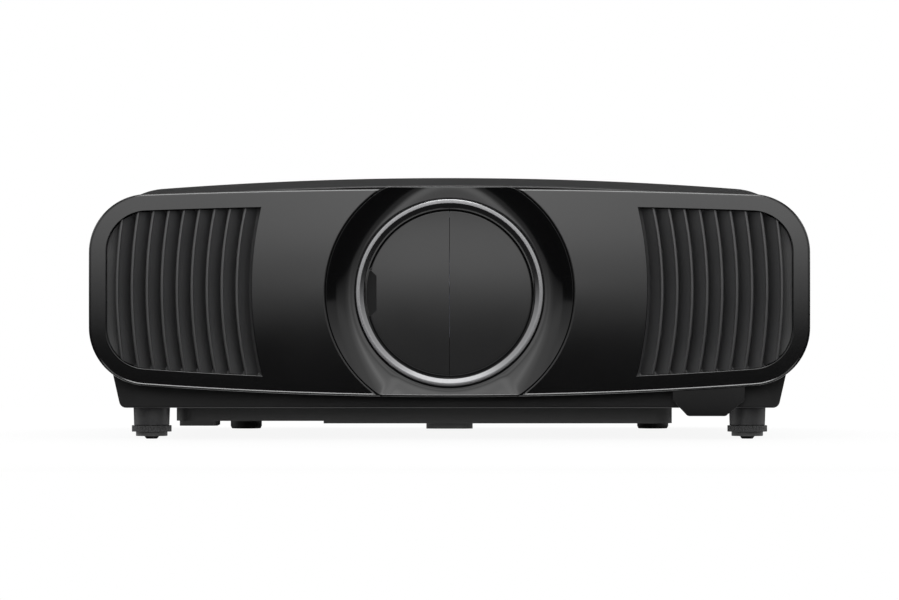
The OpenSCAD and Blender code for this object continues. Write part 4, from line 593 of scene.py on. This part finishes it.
def bowl_row(radius, extra=0.0):
    """One ring of the bowl: it comes forward from the seat to the fascia's face at the rim by a power
    of the share of the way out, and the power grows where the rim lies deeper."""
    share = np.clip((radius - seat_r) / (bowl_r - seat_r), 0, 1.2)
    deep = bowl_deep - rim_rise * share ** rim_power + extra
    return np.stack([radius * np.cos(turn), front_y + deep, lens_z + radius * np.sin(turn)], -1)


def flat_row(radius, depth):
    """One ring about the lens at one depth."""
    return np.stack([radius * np.cos(turn), front_y + depth + 0 * turn, lens_z + radius * np.sin(turn)], -1)


seat_ring = seat_r + 0 * turn
rows = [flat_row(ledge_r, seat_depth), flat_row(seat_r, seat_depth), flat_row(seat_r, bowl_deep + 0.4),
        bowl_row(seat_ring + 0.12, 0.12), bowl_row(seat_ring + 0.4)]
rows += [bowl_row(seat_r + 0.4 + (outline - seat_r - 0.7) * s) for s in np.linspace(0, 1, 30)[1:] ** 0.9]
rows += [bowl_row(outline - rim_fillet * (1 - math.sin(fillet)), rim_fillet * (1 - math.cos(fillet)))
         for fillet in np.radians([20, 40, 60, 80])]
rows += [flat_row(outline, surround_back), flat_row(flange_r, surround_back), flat_row(flange_r, flange_back),
         flat_row(ledge_r, flange_back)]
piece("lens_surround_bowl", [net(rows, ring=True, wrap=True)], "root", gloss_black, "surround", "lens_surround",
      crease=50)


# ---------------------------------------------------------------------------------------------
# Lens ring. A ring turned from aluminium and clear anodised sits in the bowl's seat: a narrow
# bright land at the front, then a cone down to the shutter, all with fine turning lines.
# ---------------------------------------------------------------------------------------------
def turned(profile):
    """A profile of (radius, depth) points carried round the lens axis."""
    angle = np.linspace(0, 2 * np.pi, 241)[:-1]
    radius, depth = np.array(profile, float).T
    return np.stack([radius[:, None] * np.cos(angle), front_y + depth[:, None] + 0 * angle,
                     lens_z + radius[:, None] * np.sin(angle)], -1)


def turning_lines(material, depth, pitch):
    """Fine rings about the lens axis: a noise of the distance from the axis raises the surface by
    depth millimetres at about that pitch in millimetres."""
    tree = material.node_tree
    place = tree.nodes.new("ShaderNodeTexCoord")
    centred = add(tree, "ShaderNodeMapping", {"Location": (0, 0, -lens_z * mm),
                                              "Vector": place.outputs["Object"]})
    level = add(tree, "ShaderNodeVectorMath", {0: centred.outputs["Vector"], 1: (1, 0, 1)}, "MULTIPLY")
    away = add(tree, "ShaderNodeVectorMath", {0: level.outputs["Vector"]}, "LENGTH")
    lines = tree.nodes.new("ShaderNodeTexNoise")
    lines.noise_dimensions = "1D"
    lines.inputs["Scale"].default_value = 1 / (pitch * mm)
    tree.links.new(away.outputs["Value"], lines.inputs["W"])
    raised = add(tree, "ShaderNodeBump", {"Strength": 1.0, "Distance": depth * mm,
                                          "Height": lines.outputs["Fac"]})
    tree.links.new(raised.outputs["Normal"], tree.nodes["Principled BSDF"].inputs["Normal"])


ring_silver = finish("ring_silver", (0.225, 0.225, 0.23), 0.21, metal=1.0)
turning_lines(ring_silver, 0.004, 0.35)
ring_profile = [(68.35, 18.5), (68.35, 11.0), (67.7, 9.55), (67.45, 9.28), (67.1, 9.2), (65.1, 9.2),
                (64.8, 9.33), (64.0, 9.72), (63.2, 10.11), (62.1, 10.65), (61.9, 11.6), (61.85, 18.5)]
piece("lens_ring_turned", [net(turned(ring_profile), ring=True, wrap=True)], "root", ring_silver, "ring",
      "lens_ring", crease=50)


# ---------------------------------------------------------------------------------------------
# Lens shutter. Two half discs of satin painted aluminium close over the lens and slide apart to
# the sides. Each is riveted to a carrier plate that runs in the housing's rails, and its rack
# meets the motor's pinion above the opening.
# ---------------------------------------------------------------------------------------------
def dressed(node, material, bevel=0.0):
    """A CAD node's own shape with its finish: a copy of its mesh is merged, its flat faces are joined,
    its edges are rounded by bevel millimetres, and it rides where the node rides."""
    mesh = cad_nodes[node].data.copy()
    work = bmesh.new()
    work.from_mesh(mesh)
    bmesh.ops.remove_doubles(work, verts=work.verts, dist=0.001 * mm)
    if bevel:
        bmesh.ops.dissolve_limit(work, angle_limit=math.radians(0.5), verts=work.verts, edges=work.edges)
    work.to_mesh(mesh)
    work.free()
    if mesh.has_custom_normals:
        mesh.attributes.remove(mesh.attributes["custom_normal"])
    placed(node + "_part", mesh, material, cad_nodes[node]["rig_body"], [node], 33.0, bevel=bevel)


leaf_satin = finish("leaf_satin", (0.006, 0.006, 0.0062), 0.1, grain=0.0003, grain_size=1.1, rough_drift=0.015)
black_plastic = finish("black_plastic", (0.013, 0.013, 0.0134), 0.45, grain=0.004, grain_size=0.8)
brass = finish("brass", (0.52, 0.38, 0.16), 0.3, cloud=0.06, metal=1.0)
steel = finish("steel", (0.42, 0.43, 0.45), 0.34, grain=0.001, grain_size=0.5, cloud=0.08, metal=1.0)
for node in ("left_shutter", "right_shutter"):
    dressed(node, leaf_satin, bevel=0.12)
grip_half, grip_square = 16.3, 12.4
notch_r, notch_x = 60.2, 52.95
grip_front, grip_back, grip_edge = 21.9, 22.25, 0.05
grip_z = np.linspace(-grip_half, grip_half, 35)
grip_out = -np.sqrt(notch_r ** 2 - grip_z ** 2)
grip_in = -notch_x - np.clip(np.abs(grip_z) - grip_square, 0, None)
grip_rows = [np.stack([x, front_y + depth + 0 * grip_z, lens_z + grip_z], -1)
             for x, depth in ((grip_out, grip_back), (grip_out, grip_front + grip_edge), (grip_in, grip_front),
                              (grip_in, grip_back))]
grip_matte = finish("leaf_grip", (0.0125, 0.0125, 0.0127), 0.6, grain=0.004, grain_size=0.6, specular=0.12)
piece("left_shutter_grip", [net(grip_rows, wrap=True), lid([row[0] for row in grip_rows]),
                            lid([row[-1] for row in grip_rows])],
      cad_nodes["left_shutter"]["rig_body"], grip_matte, "leaf")
dressed("shutter_housing", black_plastic, bevel=0.25)
dressed("shutter_pinion", brass)
dressed("shutter_motor", steel, bevel=0.2)


# ---------------------------------------------------------------------------------------------
# Projection lens. A barrel of black anodised aluminium carries a coated front glass, a knurled
# focus ring and a zoom ring, and hangs in two carriages that shift it up, down and sideways.
# ---------------------------------------------------------------------------------------------
anodised = finish("anodised_black", (0.012, 0.012, 0.013), 0.36, grain=0.001, grain_size=0.4, specular=0.6)
grip_rubber = finish("grip_rubber", (0.011, 0.011, 0.011), 0.62, grain=0.006, grain_size=0.6)
glass = finish("coated_glass", (0.7, 0.74, 0.8), 0.02, cloud=0.01, rough_drift=0.005, coat=0.2)
for socket, value in (("Transmission Weight", 0.96), ("IOR", 1.6), ("Coat Tint", (0.35, 0.33, 0.5, 1))):
    glass.node_tree.nodes["Principled BSDF"].inputs[socket].default_value = value
dressed("lens_barrel", anodised, bevel=0.3)
dressed("lens_glass", glass)
dressed("focus_ring", grip_rubber, bevel=0.2)
dressed("zoom_ring", grip_rubber, bevel=0.2)
cast = finish("cast_metal", (0.36, 0.36, 0.37), 0.46, grain=0.012, grain_size=1.2, metal=1.0)
for node, material, slot in (("shift_frame", cast, "cast"), ("vertical_carriage", cast, "cast"),
                             ("horizontal_carriage", black_plastic, "black_plastic"),
                             ("vertical_screw", steel, "steel"), ("optical_engine", cast, "cast"),
                             ("prism_block", glass, "glass"), ("laser_module", anodised, "anodised"),
                             ("phosphor_wheel", steel, "steel"), ("heat_sink", cast, "cast")):
    dressed(node, material)


# ---------------------------------------------------------------------------------------------
# Cooling and electronics. Three axial fans stand in black frames behind the grilles and the heat
# sink, and the boards are screwed to posts in the bottom case.
# ---------------------------------------------------------------------------------------------
board_green = finish("board_green", (0.01, 0.075, 0.035), 0.38, grain=0.002, grain_size=0.7, cloud=0.2)
for node in ("fan_frames", "left_fan_rotor", "right_fan_rotor", "rear_fan_rotor"):
    dressed(node, black_plastic)
for node in ("main_board", "port_board"):
    dressed(node, board_green)
dressed("power_supply", steel)


# ---------------------------------------------------------------------------------------------
# Rear wall. The rear panel closes the body's back, and carries the plate with the sockets, the
# inlet for the lead and the filter cover, which swings down for a new filter.
# ---------------------------------------------------------------------------------------------
dressed("rear_panel", case_grey, bevel=0.3)
dressed("port_plate", black_plastic, bevel=0.2)
for node in ("hdmi_sockets", "data_sockets", "control_sockets"):
    dressed(node, steel)
dressed("power_inlet", black_plastic, bevel=0.2)
dressed("filter_cover", case_grey, bevel=0.3)
filter_cloth = finish("filter_cloth", (0.2, 0.2, 0.19), 0.85, grain=0.05, grain_size=0.6, cloud=0.12)
dressed("air_filter", filter_cloth)


# ---------------------------------------------------------------------------------------------
# Keys. A panel of gloss black plastic is set into the top case's right side. Round moulded keys
# stand in its holes on silicone stems, next to two lamps with clear green caps.
# ---------------------------------------------------------------------------------------------
key_grey = finish("key_grey", (0.085, 0.085, 0.09), 0.38, grain=0.002, grain_size=0.5, cloud=0.05)
lamp_green = finish("lamp_green", (0.1, 0.5, 0.18), 0.2, cloud=0.05)
dressed("control_panel", gloss_black, bevel=0.25)
for node in ("power_button", "input_button", "menu_button", "up_button", "down_button", "left_button",
             "right_button", "enter_button"):
    dressed(node, key_grey, bevel=0.35)
dressed("status_lamps", lamp_green)


# ---------------------------------------------------------------------------------------------
# Base pan and feet. A rubber-coated pan stiffens the underside and carries the ceiling mount's
# inserts. Two fixed feet stand at the rear, and two screw feet with knurled rims at the front.
# ---------------------------------------------------------------------------------------------
rubber = finish("foot_rubber", (0.034, 0.034, 0.034), 0.5, grain=0.008, grain_size=0.7)
foot_plastic = finish("foot_plastic", (0.035, 0.035, 0.036), 0.4, grain=0.004, grain_size=0.7)
dressed("base_pan", rubber, bevel=0.8)
dressed("rear_feet", rubber, bevel=0.3)
dressed("foot_sockets", foot_plastic, bevel=0.3)
for node in ("left_foot_screw", "right_foot_screw"):
    dressed(node, foot_plastic, bevel=0.15)
for node in ("left_foot_pad", "right_foot_pad"):
    dressed(node, rubber, bevel=0.3)
dressed("case_screws", steel)
dressed("mount_inserts", brass)


# ---------------------------------------------------------------------------------------------
# Sensor window. A piece of gloss black acrylic under the fascia covers the remote control's
# receiver, and is glued behind the fascia's lower rim.
# ---------------------------------------------------------------------------------------------
dressed("sensor_window", gloss_black, bevel=0.3)


# ---------------------------------------------------------------------------------------------
# Studio. The projector stands on a plain pale floor before a white ground. A large soft card in
# front lights its face from just above the lens's height, and softer cards light the sides, the
# top and the rear.
# ---------------------------------------------------------------------------------------------
def ramp(tree, source, stops):
    """A value that runs straight from stop to stop, pairs of (position, value), along the source."""
    peak = max(value for position, value in stops)
    first, last = stops[0][0], stops[-1][0]
    place = add(tree, "ShaderNodeMapRange", {"From Min": first, "From Max": last, "Value": source})
    tone = add(tree, "ShaderNodeValToRGB", {"Fac": place.outputs["Result"]})
    while len(tone.color_ramp.elements) < len(stops):
        tone.color_ramp.elements.new(0.5)
    for element, (position, value) in zip(tone.color_ramp.elements, stops):
        element.position = (position - first) / (last - first)
        element.color = (value / peak,) * 3 + (1,)
    return add(tree, "ShaderNodeMath", {0: tone.outputs["Color"], 1: peak}, "MULTIPLY").outputs["Value"]


def bare_material(name):
    """A node material without its first shader, and its tree."""
    material = bpy.data.materials.new(name)
    material.use_nodes = True
    material.node_tree.nodes.remove(material.node_tree.nodes["Principled BSDF"])
    return material, material.node_tree


def sheet(name, corners, material):
    """A flat sheet of the studio with four corners in metres, which is no part of the projector."""
    mesh = bpy.data.meshes.new(name)
    mesh.from_pydata(corners, [], [(0, 1, 2, 3)])
    mesh.materials.append(material)
    obj = bpy.data.objects.new(name, mesh)
    bpy.context.scene.collection.objects.link(obj)
    obj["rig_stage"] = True
    return obj


def card(name, corners, upward, across, middle=None, glossy_only=False):
    """A glowing card, off camera: its radiance by height, a factor by the place across, and for the
    front one a second radiance by height in its middle."""
    material, tree = bare_material(name)
    place = tree.nodes.new("ShaderNodeTexCoord")
    split = add(tree, "ShaderNodeSeparateXYZ", {0: place.outputs["Object"]})
    level = ramp(tree, split.outputs["Z"], upward)
    if middle:
        aside = ramp(tree, split.outputs["X"], [(-0.17, 0), (-0.075, 1), (0.075, 1), (0.17, 0)])
        level = add(tree, "ShaderNodeMix", {"Factor": aside, "A": level,
                                            "B": ramp(tree, split.outputs["Z"], middle)}).outputs["Result"]
    strength = add(tree, "ShaderNodeMath", {0: level, 1: ramp(tree, split.outputs["X"], across)}, "MULTIPLY")
    glow = add(tree, "ShaderNodeEmission", {"Strength": strength.outputs["Value"]})
    tree.links.new(glow.outputs["Emission"], tree.nodes["Material Output"].inputs["Surface"])
    obj = sheet(name, corners, material)
    obj.visible_camera = False
    if glossy_only:
        obj.visible_diffuse = False
        obj.visible_shadow = False
    return obj


card("front_card", [(-1.7, -0.95, 0.003), (1.7, -0.95, 0.003), (1.7, -0.95, 1.5), (-1.7, -0.95, 1.5)],
     [(0, 0.3), (0.03, 0.44), (0.052, 0.53), (0.072, 0.66), (0.11, 0.86), (0.154, 1.08), (0.189, 1.3),
      (0.223, 1.55), (0.257, 1.83), (0.314, 2.05), (0.366, 2.2), (0.6, 2.4), (1.5, 2.8)],
     [(-1.7, 0.3), (-0.64, 0.45), (-0.42, 0.7), (-0.3, 1.13), (-0.23, 1.0), (0.23, 1.05), (0.3, 1.36),
      (0.42, 0.75), (0.64, 0.45), (1.7, 0.3)],
     [(0, 0.3), (0.075, 0.34), (0.088, 0.5), (0.1, 0.85), (0.11, 1.2), (0.12, 1.6), (0.132, 2.02), (0.17, 2.0),
      (0.185, 1.0), (0.2, 1.0), (0.22, 1.9), (0.3, 2.6), (0.6, 2.7), (1.5, 2.8)])
card("overhead_strip", [(-0.5, -0.95, 1.5), (0.5, -0.95, 1.5), (0.5, -0.3, 1.8), (-0.5, -0.3, 1.8)],
     [(0, 12), (2, 12)], [(-0.5, 0), (-0.4, 1), (0.4, 1), (0.5, 0)], glossy_only=True)
card("foot_reflector", [(-0.3, -0.203, 0.002), (0.3, -0.203, 0.002), (0.3, -0.1, 0.002), (-0.3, -0.1, 0.002)],
     [(0, 1.1), (1, 1.1)], [(-0.3, 1), (0.3, 1)], glossy_only=True)
for side, name in ((-1, "left"), (1, "right")):
    beside = side * 1.7
    card(name + "_front_card",
         [(beside, -0.95, 0.2), (beside, -0.2, 0.2), (beside, -0.2, 1.5), (beside, -0.95, 1.5)],
         [(0.2, 0.35), (0.9, 0.9), (1.5, 1.3)], [(-2, 1), (2, 1)])
    card(name + "_card", [(beside, -0.2, 0.1), (beside, 1.2, 0.1), (beside, 1.2, 1.5), (beside, -0.2, 1.5)],
         [(0.1, 1.5), (1.5, 3.2)], [(-2, 1), (2, 1)])
rear_card = card("rear_card", [(-1.5, 1.5, 0.15), (1.5, 1.5, 0.15), (1.5, 1.5, 1.7), (-1.5, 1.5, 1.7)],
                 [(0.15, 2.6), (1.7, 4.4)], [(-2, 1), (2, 1)])
rear_card.visible_glossy = False
card("top_card", [(-1.2, -0.3, 1.9), (1.2, -0.3, 1.9), (1.2, 1.3, 1.9), (-1.2, 1.3, 1.9)],
     [(0, 1.2), (2, 1.2)], [(-2, 1), (2, 1)])


def seen_share(tree, by_glossy=0.012, by_transmission=1.0):
    """How much a ray sees of the white ground: all of it from the camera, and a share by reflection
    and through glass."""
    path = tree.nodes.new("ShaderNodeLightPath")
    total = path.outputs["Is Camera Ray"]
    for output, share in (("Is Glossy Ray", by_glossy), ("Is Transmission Ray", by_transmission)):
        part = add(tree, "ShaderNodeMath", {0: path.outputs[output], 1: share, 2: total}, "MULTIPLY_ADD")
        part.use_clamp = True
        total = part.outputs["Value"]
    return total


paper, tree = bare_material("floor_paper")
path = tree.nodes.new("ShaderNodeLightPath")
place = tree.nodes.new("ShaderNodeTexCoord")
dark_paper = add(tree, "ShaderNodeBsdfDiffuse", {"Color": (0.45, 0.45, 0.45, 1)})
pale_paper = add(tree, "ShaderNodeBsdfDiffuse", {"Color": (0.9, 0.9, 0.9, 1)})
white_glow = add(tree, "ShaderNodeEmission", {"Strength": 1.0})
black_glow = add(tree, "ShaderNodeEmission", {"Strength": 0.02})
bounced = add(tree, "ShaderNodeMixShader", {
    "Fac": path.outputs["Is Glossy Ray"], 1: dark_paper.outputs["BSDF"], 2: black_glow.outputs["Emission"]})
away = add(tree, "ShaderNodeVectorMath", {0: place.outputs["Object"]}, "LENGTH")
plain = add(tree, "ShaderNodeMapRange", {
    "From Min": 0.45, "From Max": 1.1, "To Min": 0.91, "To Max": 1.0, "Value": away.outputs["Value"]})
shown = add(tree, "ShaderNodeMixShader", {
    "Fac": plain.outputs["Result"], 1: pale_paper.outputs["BSDF"], 2: white_glow.outputs["Emission"]})
seen = add(tree, "ShaderNodeMixShader", {
    "Fac": seen_share(tree), 1: bounced.outputs["Shader"], 2: shown.outputs["Shader"]})
tree.links.new(seen.outputs["Shader"], tree.nodes["Material Output"].inputs["Surface"])
sheet("floor", [(-9, -9, 0), (9, -9, 0), (9, 9, 0), (-9, 9, 0)], paper)

world = bpy.data.worlds.new("studio")
bpy.context.scene.world = world
world.use_nodes = True
tree = world.node_tree
dim = tree.nodes["Background"]
dim.inputs["Color"].default_value = (1, 1, 1, 1)
dim.inputs["Strength"].default_value = 0.03
white = add(tree, "ShaderNodeBackground", {"Color": (1, 1, 1, 1), "Strength": 1.0})
ground = add(tree, "ShaderNodeMixShader", {
    "Fac": seen_share(tree), 1: dim.outputs["Background"], 2: white.outputs["Background"]})
tree.links.new(ground.outputs["Shader"], tree.nodes["World Output"].inputs["Surface"])

camera = bpy.data.objects.new("camera", bpy.data.cameras.new("camera"))
bpy.context.scene.collection.objects.link(camera)
camera.location = (0, -4.5235, 0.101)
camera.rotation_euler = (math.radians(90), 0, 0)
camera.data.lens = 239.0
camera.data.sensor_width = 36.0
camera.data.clip_end = 40.0
bpy.context.scene.camera = camera
bpy.context.scene.view_settings.view_transform = "Standard"

low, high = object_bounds()
